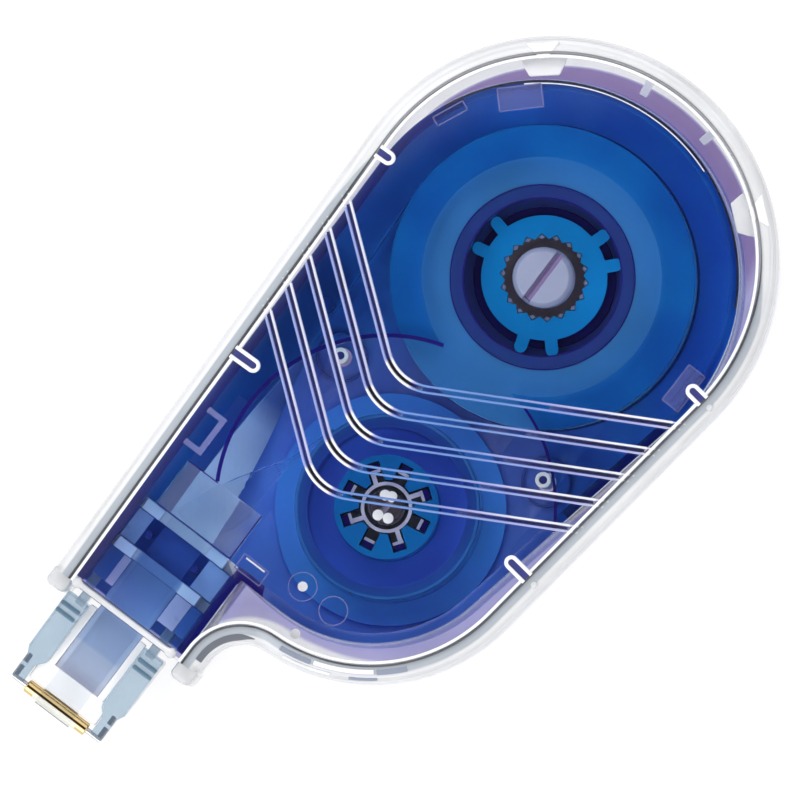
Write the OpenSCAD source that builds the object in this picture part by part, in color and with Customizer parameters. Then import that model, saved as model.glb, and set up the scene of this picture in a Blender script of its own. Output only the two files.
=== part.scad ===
// Correction tape roller with a clear two-part case, a drop-in refill, two geared reels and a tip roller.
// Millimetres. The origin is on the back face, on the supply reel's axis. +X points to the round end, +Z to the face.

/* [Case] */
// Room between the refill and the face's edge at the round end
round_gap = 0.85; // [0.6:0.05:1.5]
// Room between the refill and the face's edge at the belly
belly_gap = 2.1; // [1.6:0.1:2.4]
// Distance of the round end's centre from the supply axis
bulb_x = 2.2; // [1.5:0.1:3]
// Distance from the supply axis to the mouth of the case
mouth_dist = 52.5; // [51.5:0.5:54]
// Width of the rounded rim outside the face
rim_w = 1.95; // [1.6:0.05:2.3]
// Thickness of the case, without the ribs
case_t = 14; // [13.9:0.1:15]
// Thickness of the side wall
wall_t = 1.2; // [1:0.1:1.4]
// Thickness of the back
floor_t = 1.3; // [1:0.1:1.4]
// Thickness of the face
face_t = 1.5; // [1.2:0.1:1.6]
// Height of the parting line
parting_z = 7; // [6:0.5:8]

/* [Grip ribs] */
// Number of chevron ribs
rib_count = 5; // [3:1:5]
// Distance from one rib to the next
rib_pitch = 3.33; // [3:0.01:3.5]
// Width of a rib
rib_w = 0.9; // [0.7:0.05:1.1]
// How far a rib stands out of the face
rib_h = 0.4; // [0.2:0.05:0.45]

/* [Gears] */
// Gear module
gear_m = 0.8; // [0.8:0.1:0.8]
// Teeth of the supply gear
supply_teeth = 45; // [45:1:45]
// Teeth of the take-up gear
take_up_teeth = 24; // [24:1:24]
// Thickness of both gears
gear_t = 1.5; // [1.2:0.1:1.6]
// Thinning of each tooth, for play in the mesh
gear_play = 0.12; // [0.08:0.01:0.2]

/* [Reels] */
// Radius of the full roll of tape
roll_r = 15; // [14:0.1:15.2]
// Radius of the supply core
core_r = 9.2; // [9:0.1:9.6]
// Radius of the take-up core
take_up_r = 9; // [8.6:0.1:9.4]
// Room between the take-up reel's flange and the refill's wall
take_up_gap = 0.5; // [0.4:0.1:1]
// Width of the tape
tape_w = 4.2; // [3.8:0.1:4.4]
// Thickness of the tape and film as drawn
tape_t = 0.12; // [0.1:0.01:0.15]
// Radial play of everything that turns
run_play = 0.05; // [0.03:0.01:0.08]

/* [Refill] */
// Radius of the refill at the round end
refill_r = 19.7; // [19.4:0.1:19.9]
// Radius of the refill at the belly
refill_belly_r = 14.7; // [14.4:0.1:15]
// Thickness of the refill's base
base_t = 1; // [0.8:0.1:1.1]
// Thickness of the refill's wall
refill_wall = 1; // [0.8:0.1:1.1]
// Radius of the cut-out round the take-up reel
cutout_r = 16.8; // [16:0.1:17]
// Radius of the cut-out round the supply core
core_window_r = 12; // [11:0.1:12.5]

/* [Head] */
// How far the tip roller's axis stands out of the mouth
head_reach = 11.2; // [10:0.1:12.5]
// Distance of the head's centre line below the refill's straight long edge
head_inset = 6.65; // [6.4:0.05:7]
// Radius of the tip roller
tip_r = 0.7; // [0.6:0.05:0.8]
// Length of the tip roller
tip_len = 7.5; // [6.5:0.1:8]
// Radius of the tip roller's axle
axle_r = 0.3; // [0.25:0.01:0.35]
// Width of the head across its cheeks
head_w = 12; // [11.4:0.1:12]

/* [Hidden] */
$fn = 64;

clear_white = [0.93, 0.95, 0.98, 0.35];
blue = [0.08, 0.18, 0.55, 0.6];
gear_grey = [0.75, 0.8, 0.88];
film_blue = [0.5, 0.58, 0.75];
tape_white = [0.95, 0.95, 0.93];
gold = [0.75, 0.55, 0.2];

// Distance that the ribs run past the face edge
rib_end = 0.4;

// Reel axes: the take-up reel stands off the supply axis by the gears' centre distance
gear_dist = gear_m * (supply_teeth + take_up_teeth) / 2;
take_up_drop = 1.3;
take_up_pos = [-sqrt(gear_dist * gear_dist - take_up_drop * take_up_drop), -take_up_drop];
mesh_angle = atan2(take_up_pos.y, take_up_pos.x);

// Head, placed from the refill's long edge and the mouth
head_y = refill_r - head_inset;
mouth_x = -mouth_dist;
tip_x = mouth_x - head_reach;
run_r = tip_r + 0.1;
run_off = run_r + tape_t / 2;
cheek_end = mouth_x - 1;
bars = [[mouth_x + 5.3, mouth_x + 6.5], [mouth_x + 10, mouth_x + 11.2]];
shank_end = bars[1][1];
shank_w = 10;
plate_h = 0.5;
twist_x = shank_end + 0.3;

// Refill outline
refill_belly_c = take_up_pos + [0.07, 1.7];
refill_mouth_x = mouth_x + 0.7;
refill_neck_low = head_y - 7.15;
refill_top_slope = 0.45;
refill_bottom_normal = tangent_normal([0, 0], refill_r, refill_belly_c, refill_belly_r);

// Face outline
bulb_c = [bulb_x, 0];
bulb_r = refill_r + round_gap;
belly_c = refill_belly_c - [0.3, 0.1];
belly_r = refill_belly_r + belly_gap;
top_slope = 1.2;
top_normal = 90 + top_slope;
bottom_normal = tangent_normal(bulb_c, bulb_r, belly_c, belly_r);
neck_low = refill_neck_low - 0.4;
fillet_r = 6.2;
fillet_y = neck_low - fillet_r;
fillet_x = belly_c.x - sqrt(pow(belly_r + fillet_r, 2) - pow(belly_c.y - fillet_y, 2));
fillet_c = [fillet_x, fillet_y];
fillet_end = atan2(belly_c.y - fillet_y, belly_c.x - fillet_x);

// Heights
wall_in = rim_w - wall_t;
rim_h = 2.3;
part_gap = 0.1;
// Straight edges are drawn this far inside the arcs that they run into, and arcs run on past them by a lap angle,
// so that the two cross cleanly
tuck = 0.005;
lap_angle = 2.5;
gear_z = floor_t + 0.4;
refill_z = gear_z + gear_t + 0.5;
base_top = refill_z + base_t;
reel_z = base_top + 0.25;
reel_flange_t = 0.5;
tape_z = reel_z + reel_flange_t + 0.2;
tape_mid = tape_z + tape_w / 2;
reel_top = tape_z + tape_w + 0.1;
plate_z = reel_top + reel_flange_t + 0.4;
plate_t = case_t - face_t - 0.6 - plate_z;

// Reels
bore_r = 2.7;
take_up_bore_r = 1.6;
spline_teeth = 18;
spline_r = 4.3;
spline_root = 3.75;
spline_play = 0.12;
supply_boss_h = 3.6;
star_teeth = 8;
star_r = 4.5;
star_hub_r = 2.6;
star_tooth_w = 1.2;
star_play = 0.1;
star_turn = 9.5;
star_top = reel_top - 1;
hub_r = 5.2;
collar_r = 7;
collar_h = 0.9;
core_in = 7.85;
core_lip_h = 0.65;
clutch_z = base_top + 1.2;
clutch_t = 1.1;
clutch_r = 6.2;
finger_r = 0.62;
flange_r = roll_r + 0.2;
take_up_flange_r = refill_belly_r - refill_wall - (refill_belly_c.y - take_up_pos.y) - take_up_gap;

// Posts and pegs
post_pos = [[-18.3, 11.5], [-16.1, -12]];
post_r = 0.8;
peg_pos = [-roll_r, roll_r + 0.5];
peg_r = 0.8;

function unit(a) = [cos(a), sin(a)];
// Direction of the outward normal of the lower common tangent of two circles
function tangent_normal(c1, r1, c2, r2) =
  let (d = c1 - c2) atan2(d.y, d.x) - acos((r2 - r1) / norm(d));
function inv_deg(a) = tan(a) * 180 / PI - a;
// Half of a tooth's angle at radius r
function tooth_half(r, teeth) =
  let (pitch = gear_m * teeth / 2, base = pitch * cos(20), at = max(r, base + 0.0001))
  90 / teeth - gear_play / 2 / pitch * 180 / PI + inv_deg(20) - inv_deg(acos(base / at));
// Point where a ray from p along angle a meets the straight edge with the given normal, offset d from the bulb
function ray_to_edge(p, a, normal, d) =
  (bulb_r + d - (p - bulb_c) * unit(normal)) / (unit(a) * unit(normal));

// Height of a straight face edge at x
function edge_y(x, normal) = bulb_c.y + (bulb_r - cos(normal) * (x - bulb_c.x)) / sin(normal);

// Face outline moved outward by d
module case_outline(d) {
  line_r = bulb_r + d - tuck;
  belly_line_r = belly_r + d - tuck;
  top_y = bulb_c.y + line_r / cos(top_slope) + (mouth_x - d - bulb_c.x) * tan(top_slope);
  difference() {
    union() {
      translate(bulb_c) circle(bulb_r + d);
      translate(belly_c) circle(belly_r + d);
      polygon([
        [mouth_x - d, top_y],
        bulb_c + line_r * unit(top_normal),
        bulb_c,
        bulb_c + line_r * unit(bottom_normal),
        belly_c + belly_line_r * unit(bottom_normal),
        belly_c,
        belly_c - belly_line_r * unit(fillet_end),
        [fillet_x, neck_low - d],
        [mouth_x - d, neck_low - d]
      ]);
    }
    translate(fillet_c) circle(fillet_r - d + tuck);
  }
}

// Sweeps a profile, drawn as distance outside the face edge against height, round the case from mouth to mouth
module round_case() {
  top_end = bulb_c + (bulb_r - tuck) * unit(top_normal);
  top_len = (top_end.x - mouth_x) / cos(top_slope);
  translate(top_end - top_len * unit(top_slope)) edge_run(top_normal, top_len) children();
  arc_run(bulb_c, bottom_normal, top_normal) translate([bulb_r, 0]) children();
  bottom_start = bulb_c + (bulb_r - tuck) * unit(bottom_normal);
  bottom_end = belly_c + (belly_r - tuck) * unit(bottom_normal);
  translate(bottom_start) edge_run(bottom_normal, norm(bottom_end - bottom_start)) children();
  arc_run(belly_c, fillet_end - 180, bottom_normal) translate([belly_r, 0]) children();
  arc_run(fillet_c, fillet_end, 90) translate([fillet_r + tuck, 0]) mirror([1, 0]) children();
  translate([fillet_x, neck_low + 2 * tuck]) edge_run(-90, fillet_x - mouth_x) children();
}

module arc_run(c, from, to) {
  translate(c) rotate([0, 0, from - lap_angle])
    rotate_extrude(angle = to - from + 2 * lap_angle) children();
}

module edge_run(normal, len) {
  rotate([0, 0, normal]) rotate([90, 0, 0]) linear_extrude(len) children();
}

// Section of the rounded rim, up into the wall that stands on it
module rim_profile(skin) {
  inset = 0.03;
  top = rim_h + 0.4;
  polygon([
    [-0.8, 0], [0, 0], [1, 0.5], [rim_w - 0.25, 1.25], [rim_w - inset, rim_h + 0.2], [rim_w - inset, top],
    [wall_in + inset, top], [wall_in + inset, skin], [-0.8, skin]
  ]);
}

// Half of the case's side: rim at height 0, wall up to height h, open at the mouth
module side_wall(h, skin) {
  round_case() rim_profile(skin);
  translate([0, 0, rim_h]) linear_extrude(h - rim_h) difference() {
    case_outline(rim_w);
    case_outline(wall_in);
    translate([mouth_x - 10, -case_t]) square([10 + tuck, 4 * case_t]);
  }
}

module corner_knobs(z0, z1) {
  for (y = [edge_y(mouth_x, top_normal) + 1.1, neck_low - 0.9])
    translate([mouth_x - 0.7, y, z0]) cylinder(r = 1.1, h = z1 - z0);
}

// Split pin with a snap head over what turns on it
module spindle(r, head_z, top_z, slot) {
  head = 0.3;
  difference() {
    rotate_extrude() polygon([
      [0, 0.5], [r + 1.2, 0.5], [r + 1.2, gear_z - 0.05], [r, gear_z - 0.05], [r, head_z],
      [r + head, head_z + 0.3], [r + head, head_z + 0.6], [r - 0.2, top_z - 0.3], [r - 0.5, top_z], [0, top_z]
    ]);
    translate([-2 * r, -slot / 2, gear_z + gear_t]) cube([4 * r, slot, case_t]);
  }
}

module rear_case() {
  color(clear_white) {
    difference() {
      union() {
        linear_extrude(floor_t) case_outline(-0.3);
        side_wall(parting_z, floor_t);
        corner_knobs(0.9, parting_z);
        spindle(bore_r, gear_z + gear_t + supply_boss_h + 0.1, reel_top + 0.1, 0.8);
        translate([take_up_pos.x, take_up_pos.y]) spindle(take_up_bore_r, star_top + 0.1, star_top + 1.2, 0.6);
        for (p = post_pos) translate([p.x, p.y, 0.5]) cylinder(r = post_r, h = reel_top - 1.5);
      }
      for (p = post_pos) translate([p.x, p.y, base_top]) cylinder(r = post_r / 2, h = case_t);
    }
  }
}

// Plan of one chevron with its round apex at x
module chevron(x) {
  bend = 5;
  apex_y = 4.6;
  up = 51.7;
  down = -61.3;
  c = [x + bend, apex_y];
  p_up = c + bend * unit(up + 90);
  p_down = c + bend * unit(down - 90);
  far = 2 * bend;
  translate(c) intersection() {
    difference() {
      circle(bend + rib_w / 2);
      circle(bend - rib_w / 2);
    }
    polygon([[0, 0], far * unit(up + 90 - lap_angle), far * unit(180), far * unit(down - 90 + lap_angle)]);
  }
  translate(p_up) rib_arm(up, ray_to_edge(p_up, up, top_normal, rib_end));
  translate(p_down) rib_arm(down, ray_to_edge(p_down, down, bottom_normal, rib_end));
}

module rib_arm(a, len) {
  rotate(a) translate([0, tuck - rib_w / 2]) square([len, rib_w - 2 * tuck]);
}

// Raised round-ended mark that starts at a straight face edge and runs inward
module edge_mark(x, normal, len) {
  w = 1.4;
  h = 0.2;
  sunk = 0.5;
  inward = -sign(sin(normal));
  y0 = edge_y(x, normal) + inward * 0.3;
  y1 = y0 + inward * len;
  translate([x, y1, case_t - sunk]) cylinder(r = w / 2, h = h + sunk);
  translate([x - w / 2, min(y0, y1), case_t - sunk]) cube([w, len, h + sunk]);
}

// Snap tongue inside the round end
module catch(a) {
  width = 4;
  translate(bulb_c) rotate([0, 0, a]) {
    translate([bulb_r - 1.2, -width / 2, parting_z - 1.5]) cube([1.5, width, case_t - face_t - parting_z + 2]);
    translate([bulb_r + 0.2, -width / 2, parting_z - 0.9])
      rotate([-90, 0, 0]) cylinder(r = 0.4, h = width, $fn = 32);
  }
}

module mouth_bar() {
  y0 = head_y - 6.15;
  y1 = head_y + 5.55;
  bar_r = 0.5;
  bead_r = 0.75;
  translate([mouth_x + 0.2, y0, case_t - 0.2]) rotate([-90, 0, 0]) cylinder(r = bar_r, h = y1 - y0);
  for (y = [y0, y1]) translate([mouth_x + 0.2, y, case_t - 0.2]) sphere(bead_r);
}

module front_cover() {
  apex0 = -29.75;
  color(clear_white) {
    translate([0, 0, case_t - face_t]) linear_extrude(face_t) case_outline(-0.3);
    translate([0, 0, case_t]) mirror([0, 0, 1]) side_wall(case_t - parting_z - part_gap, face_t);
    corner_knobs(parting_z + part_gap, case_t - 0.9);
    translate([0, 0, case_t - face_t / 2]) linear_extrude(face_t / 2 + rib_h)
      for (i = [0 : rib_count - 1]) chevron(apex0 + i * rib_pitch);
    edge_mark(-24.45, top_normal, 2.9);
    edge_mark(0.3, top_normal, 1.7);
    edge_mark(-24.85, bottom_normal, 2.7);
    edge_mark(-0.15, bottom_normal, 1.3);
    for (a = [-40, 40]) catch(a);
    mouth_bar();
  }
}

// Gear with involute teeth, one tooth centred on +X
module gear(teeth, h) {
  pitch = gear_m * teeth / 2;
  root = pitch - 1.25 * gear_m;
  steps = 4;
  radii = [for (i = [0 : steps]) pitch - 0.9 * gear_m + i / steps * 1.8 * gear_m];
  linear_extrude(h) polygon([
    for (t = [0 : teeth - 1]) let (mid = t * 360 / teeth) each [
      root * unit(mid - tooth_half(root, teeth)),
      for (r = radii) r * unit(mid - tooth_half(r, teeth)),
      for (i = [steps : -1 : 0]) radii[i] * unit(mid + tooth_half(radii[i], teeth)),
      root * unit(mid + tooth_half(root, teeth))
    ]
  ]);
}

module spline(grow) {
  polygon([
    for (i = [0 : 2 * spline_teeth - 1])
      ((i % 2 == 0 ? spline_r : spline_root) + grow) * unit(i * 180 / spline_teeth)
  ]);
}

module star(grow) {
  circle(star_hub_r + grow);
  for (i = [0 : star_teeth - 1]) rotate(star_turn + i * 360 / star_teeth)
    translate([0, -star_tooth_w / 2 - grow]) square([star_r + grow, star_tooth_w + 2 * grow]);
}

module supply_gear() {
  color(gear_grey) difference() {
    union() {
      translate([0, 0, gear_z]) rotate([0, 0, mesh_angle]) gear(supply_teeth, gear_t);
      translate([0, 0, gear_z]) linear_extrude(gear_t + supply_boss_h) spline(0);
    }
    cylinder(r = bore_r + run_play, h = case_t);
  }
}

module take_up_gear() {
  color(gear_grey) translate([take_up_pos.x, take_up_pos.y, 0]) difference() {
    union() {
      translate([0, 0, gear_z]) rotate([0, 0, mesh_angle - 180 + 180 / take_up_teeth]) gear(take_up_teeth, gear_t);
      translate([0, 0, gear_z]) linear_extrude(star_top - gear_z) star(0);
    }
    cylinder(r = take_up_bore_r + run_play, h = case_t);
  }
}

// Refill outline moved outward by e
module refill_outline(e) {
  a = 90 + refill_top_slope;
  line_r = refill_r + e - tuck;
  belly_line_r = refill_belly_r + e - tuck;
  top_y = line_r / cos(refill_top_slope) + (refill_mouth_x - e) * tan(refill_top_slope);
  circle(refill_r + e);
  translate(refill_belly_c) circle(refill_belly_r + e);
  polygon([
    [refill_mouth_x - e, top_y],
    line_r * unit(a),
    [0, 0],
    line_r * unit(refill_bottom_normal),
    refill_belly_c + belly_line_r * unit(refill_bottom_normal),
    refill_belly_c,
    refill_belly_c - [belly_line_r, 0],
    [refill_belly_c.x - belly_line_r, refill_neck_low - e],
    [refill_mouth_x - e, refill_neck_low - e]
  ]);
}

module refill_base() {
  ring_r = 2.5;
  color(blue) difference() {
    union() {
      translate([0, 0, refill_z]) difference() {
        linear_extrude(plate_z - refill_z) refill_outline(0);
        translate([0, 0, base_t]) linear_extrude(case_t) refill_outline(-refill_wall);
        // the neck is open toward the head
        translate([refill_mouth_x - 1, refill_neck_low + refill_wall, base_t])
          cube([3, head_w, case_t]);
      }
      translate([0, 0, base_top - 0.1]) cylinder(r = collar_r, h = collar_h + 0.1);
      for (p = post_pos) translate([p.x, p.y, base_top - 0.1]) cylinder(r = ring_r, h = 0.6);
    }
    cylinder(r = clutch_r - 0.6, h = case_t);
    translate([take_up_pos.x, take_up_pos.y, 0]) cylinder(r = hub_r + run_play, h = case_t);
    for (p = post_pos) translate([p.x, p.y, 0]) cylinder(r = post_r + 0.15, h = case_t);
  }
}

// Clip tab under the front plate, standing along the wall
module clip(p, a) {
  translate([p.x, p.y, plate_z - 3]) rotate([0, 0, a]) translate([-0.4, -2.2, 0]) cube([0.8, 4.4, 3.1]);
}

module refill_front_plate() {
  clip_r = refill_r - refill_wall - 0.7;
  slot_x = shank_end + 0.2;
  slot_y = [head_y - 4.95, head_y + 3.95];
  color(blue) {
    translate([0, 0, plate_z]) linear_extrude(plate_t) difference() {
      refill_outline(0);
      circle(core_window_r);
      translate(take_up_pos) circle(cutout_r);
      translate([slot_x, slot_y[0]]) square([take_up_pos.x - slot_x, slot_y[1] - slot_y[0]]);
    }
    clip(clip_r * unit(46), 46);
    clip(clip_r * unit(-90), -90);
  }
}

module ring(r_in, r_out, z, h) {
  translate([0, 0, z]) difference() {
    cylinder(r = r_out, h = h);
    translate([0, 0, -1]) cylinder(r = r_in, h = h + 2);
  }
}

module supply_core() {
  color(blue) rotate_extrude() polygon([
    [collar_r + run_play, reel_z], [flange_r, reel_z], [flange_r, reel_z + reel_flange_t],
    [core_r, reel_z + reel_flange_t], [core_r, reel_top], [core_in, reel_top],
    [core_in, reel_z + core_lip_h], [collar_r + run_play, reel_z + core_lip_h]
  ]);
}

module supply_flange() {
  color(blue) ring(core_in, flange_r, reel_top, reel_flange_t);
}

module tape_roll() {
  color(tape_white) ring(core_r, roll_r, tape_z, tape_w);
}

module clutch_disc() {
  finger_at = core_in - finger_r - run_play;
  spread = 12.5;
  color(blue) translate([0, 0, clutch_z]) linear_extrude(clutch_t) difference() {
    union() {
      circle(clutch_r);
      for (a = [90, 210, 330], s = [-spread, spread]) rotate(a + s) {
        translate([finger_at, 0]) circle(finger_r);
        translate([0, -finger_r]) square([finger_at, 2 * finger_r]);
      }
    }
    spline(spline_play);
  }
}

module take_up_core() {
  wall = 1;
  color(blue) translate([take_up_pos.x, take_up_pos.y, 0]) difference() {
    rotate_extrude() polygon([
      [0, refill_z + 0.1], [hub_r, refill_z + 0.1], [hub_r, reel_z + reel_flange_t],
      [take_up_r, reel_z + reel_flange_t], [take_up_r, reel_top], [take_up_r - wall, reel_top],
      [take_up_r - wall, reel_z + reel_flange_t + wall], [hub_r, reel_z + reel_flange_t + wall],
      [hub_r, reel_top], [0, reel_top]
    ]);
    linear_extrude(case_t) star(star_play);
  }
}

module take_up_flange() {
  color(blue) translate([take_up_pos.x, take_up_pos.y, 0]) ring(hub_r, take_up_flange_r, reel_z, reel_flange_t);
}

module film_winding() {
  color(film_blue) translate([take_up_pos.x, take_up_pos.y, 0]) ring(take_up_r, take_up_r + 0.3, tape_z, tape_w);
}

// Solid with the given side view, spanning y0 to y1 from the head's centre line
module side_slab(points, y0, y1) {
  translate([0, head_y + y1, 0]) rotate([90, 0, 0]) linear_extrude(y1 - y0) polygon(points);
}

module head_frame() {
  arm = [4.25, 5.6];
  cheek = [3.5, head_w / 2];
  rail = [3.9, shank_w / 2];
  z = tape_mid;
  nose_x = tip_x + 1.2;
  taper_x = tip_x + 4;
  foot_y = 2.7;
  color([0.75, 0.82, 0.9, 0.5]) difference() {
    union() {
      // plate between the cheeks, thinning to the tip
      side_slab([
        [bars[0][1], z - plate_h], [taper_x, z - plate_h], [nose_x, z - 0.3],
        [nose_x, z + 0.3], [taper_x, z + plate_h], [bars[0][1], z + plate_h]
      ], -cheek[0] - 0.1, cheek[0] + 0.1);
      for (s = [-1, 1]) {
        // cheek outside the mouth
        side_slab([
          [cheek_end, z - 2.6], [tip_x + 4.5, z - 1.5], [tip_x + 2.8, z - 1.2],
          [tip_x + 2.8, z + 1.2], [tip_x + 4.5, z + 1.5], [cheek_end, z + 2.6]
        ], min(s * cheek[0], s * cheek[1]), max(s * cheek[0], s * cheek[1]));
        // arm that carries the axle
        side_slab([
          [taper_x, z - 1.1], [tip_x, z - 0.75], [tip_x - 0.1, z - 0.4],
          [tip_x - 0.1, z + 0.4], [tip_x, z + 0.75], [taper_x, z + 1.1]
        ], min(s * arm[0], s * arm[1]), max(s * arm[0], s * arm[1]));
        // rail inside the neck
        side_slab([
          [cheek_end - 0.5, z - 1.3], [shank_end, z - 1.3], [shank_end, z + 1.3], [cheek_end - 0.5, z + 1.3]
        ], min(s * rail[0], s * rail[1]), max(s * rail[0], s * rail[1]));
        // feet between the refill's base and front plate
        for (b = bars) side_slab([
          [b[0], base_top], [b[1], base_top], [b[1], plate_z], [b[0], plate_z]
        ], min(s * foot_y, s * rail[1]), max(s * foot_y, s * rail[1]));
        // ridges across the cheeks
        for (x = [mouth_x - 3.2, mouth_x - 2.2]) side_slab([
          [x - 0.25, z - 2], [x + 0.25, z - 2], [x + 0.25, z + 2.75], [x - 0.25, z + 2.75]
        ], min(s * cheek[0], s * cheek[1]), max(s * cheek[0], s * cheek[1]));
      }
      // rear bar under the tape
      side_slab([
        [bars[1][0], z - plate_h], [bars[1][1], z - plate_h], [bars[1][1], z + plate_h], [bars[1][0], z + plate_h]
      ], -rail[1], rail[1]);
      // front bar under the tape
      side_slab([
        [bars[0][0], z - plate_h], [bars[0][1], z - plate_h], [bars[0][1], z + plate_h], [bars[0][0], z + plate_h]
      ], -rail[1], rail[1]);
    }
    translate([tip_x, head_y - head_w, tape_mid]) rotate([-90, 0, 0]) cylinder(r = axle_r, h = 2 * head_w);
  }
}

module tip_roller() {
  color(gold) translate([tip_x, head_y - tip_len / 2, tape_mid]) rotate([-90, 0, 0])
    ring(axle_r + run_play, tip_r, 0, tip_len);
}

module tip_axle() {
  len = head_w - 1;
  color("silver") translate([tip_x, head_y - len / 2, tape_mid]) rotate([-90, 0, 0]) cylinder(r = axle_r, h = len);
}

// Upright ribbon from p to q
module upright_ribbon(p, q) {
  d = q - p;
  translate([p.x, p.y, tape_z]) rotate([0, 0, atan2(d.y, d.x)])
    translate([0, -tape_t / 2, 0]) cube([norm(d), tape_t, tape_w]);
}

// Ribbon that turns from flat at p to upright at q
module twisted_ribbon(p, q) {
  d = q - p;
  flat = norm([d.x, d.y]);
  translate(p) rotate([0, 0, atan2(d.y, d.x)]) rotate([0, 90 - atan2(d.z, flat), 0]) rotate([0, 0, 90])
    linear_extrude(norm(d), twist = -90, slices = 18, $fn = 12) square([tape_w, tape_t], center = true);
}

module tape_run() {
  peg_side = peg_pos - [0, peg_r + 0.15];
  leave_x = -2;
  start = [leave_x, roll_r + 0.17];
  turn_end = peg_side - [5, 0.15];
  z = tape_mid - run_off;
  color(tape_white) {
    upright_ribbon(start, peg_side);
    upright_ribbon(peg_side, turn_end);
    twisted_ribbon([twist_x, head_y, z], [turn_end.x, turn_end.y, tape_mid]);
    translate([tip_x, head_y - tape_w / 2, z - tape_t / 2]) cube([twist_x - tip_x, tape_w, tape_t]);
    translate([tip_x, head_y + tape_w / 2, tape_mid]) rotate([90, 0, 0]) rotate([0, 0, 180])
      linear_extrude(tape_w) intersection() {
        difference() {
          circle(run_r + tape_t);
          circle(run_r);
        }
        square([4, 4]);
      }
  }
}

module film_run() {
  wind_r = take_up_r + 0.3 + 0.15;
  p = [twist_x, head_y];
  to_reel = take_up_pos - p;
  a = atan2(to_reel.y, to_reel.x) + asin(wind_r / norm(to_reel));
  reach = sqrt(to_reel * to_reel - wind_r * wind_r);
  turn_end = p + 0.7 * reach * unit(a);
  z = tape_mid + run_off;
  color(film_blue) {
    upright_ribbon(turn_end, p + reach * unit(a));
    twisted_ribbon([p.x, p.y, z], [turn_end.x, turn_end.y, tape_mid]);
    translate([tip_x, head_y - tape_w / 2, z - tape_t / 2]) cube([twist_x - tip_x, tape_w, tape_t]);
    translate([tip_x, head_y + tape_w / 2, tape_mid]) rotate([90, 0, 0]) rotate([0, 0, 90])
      linear_extrude(tape_w) intersection() {
        difference() {
          circle(run_r + tape_t);
          circle(run_r);
        }
        square([4, 4]);
      }
  }
}

module guide_peg() {
  color(blue) translate([peg_pos.x, peg_pos.y, base_top]) cylinder(r = peg_r, h = plate_z - base_top);
}

module tape_guides() {
  guide_r = 0.4;
  for (s = [-1, 1]) color(blue) translate([(bars[0][1] + bars[1][0]) / 2, head_y + s * (tape_w / 2 + 0.7), base_top])
    cylinder(r = guide_r, h = plate_z - base_top);
}

rear_case();
front_cover();
supply_gear();
take_up_gear();
refill_base();
refill_front_plate();
supply_core();
supply_flange();
tape_roll();
clutch_disc();
take_up_core();
take_up_flange();
film_winding();
head_frame();
tip_roller();
tip_axle();
tape_run();
film_run();
guide_peg();
tape_guides();
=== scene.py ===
"""Looks of the correction tape roller: clear case, blue drop-in refill, two reels, gears and a roller tip.

Sizes are in millimetres in the part's own frame and are turned into metres when a mesh is made.
"""
import math

import bmesh
import bpy
from mathutils import Matrix, Vector


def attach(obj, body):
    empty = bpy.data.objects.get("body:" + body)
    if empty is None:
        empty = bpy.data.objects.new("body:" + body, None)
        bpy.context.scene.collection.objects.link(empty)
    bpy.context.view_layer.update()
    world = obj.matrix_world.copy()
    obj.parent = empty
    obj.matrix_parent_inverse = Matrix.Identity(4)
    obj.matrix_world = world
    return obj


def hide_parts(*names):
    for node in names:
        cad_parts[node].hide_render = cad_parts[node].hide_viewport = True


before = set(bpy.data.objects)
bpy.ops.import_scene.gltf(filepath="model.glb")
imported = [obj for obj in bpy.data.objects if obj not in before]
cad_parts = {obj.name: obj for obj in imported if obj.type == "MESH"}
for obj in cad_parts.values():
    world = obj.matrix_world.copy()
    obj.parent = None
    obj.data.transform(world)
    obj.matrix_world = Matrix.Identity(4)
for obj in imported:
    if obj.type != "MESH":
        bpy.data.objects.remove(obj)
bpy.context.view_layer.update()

MM = 0.001
# edges that turn by more than this stay sharp
SHARP = math.radians(35)

# Case: plan of the face, heights and rim
MOUTH_X = -52.5
BULB_C, BULB_R = (2.2, 0.0), 20.55
TAKE_UP = (-27.569367, -1.3)
REFILL_R = 19.7
REFILL_BELLY_C, REFILL_BELLY_R = (TAKE_UP[0] + 0.07, TAKE_UP[1] + 1.7), 14.7
BELLY_C, BELLY_R = (REFILL_BELLY_C[0] - 0.3, REFILL_BELLY_C[1] - 0.1), 16.8
TOP_SLOPE = 1.2
NECK_LOW = 5.5
FILLET_R = 6.2
FILLET_C = (BELLY_C[0] - math.sqrt((BELLY_R + FILLET_R) ** 2 - (BELLY_C[1] - NECK_LOW + FILLET_R) ** 2),
            NECK_LOW - FILLET_R)
RIM_W, WALL_IN = 1.95, 0.75
CASE_T, FACE_T, FLOOR_T = 14.0, 1.5, 1.3
FACE_UNDER = CASE_T - FACE_T
# the rim's rounded shoulder, as distance out from the face's edge and height, and where the clear skirt ends
SHOULDER = ((0.7, 13.74), (1.05, 13.55), (1.4, 13.2), (1.7, 12.75), (1.88, 12.2), (RIM_W, 11.6))
SKIRT_TOP = 11.0

# Grip ribs: first apex, pitch, the apex's radius and height, and the directions of the two arms
RIB_COUNT, RIB_X, RIB_PITCH = 5, -29.75, 3.33
RIB_BEND, RIB_Y, RIB_UP, RIB_DOWN = 5.0, 4.6, 51.7, -61.3
# shares of a rib's length at which its bend starts and ends
BEND_START, BEND_END = 0.36, 0.56

# Refill and reels
REFILL_MOUTH_X, REFILL_NECK_LOW, REFILL_SLOPE = -51.8, 5.9, 0.45
REFILL_Z, BASE_TOP, PLATE_Z, PLATE_TOP = 3.7, 4.7, 10.85, 11.9
REEL_Z, REEL_TOP, TAPE_Z, TAPE_W, FLANGE_T = 4.95, 9.95, 5.65, 4.2, 0.5
ROLL_R, CORE_R, CORE_IN, FLANGE_R, COLLAR_R = 15.0, 9.2, 7.85, 15.2, 7.0
CUTOUT_R = 16.8
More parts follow.
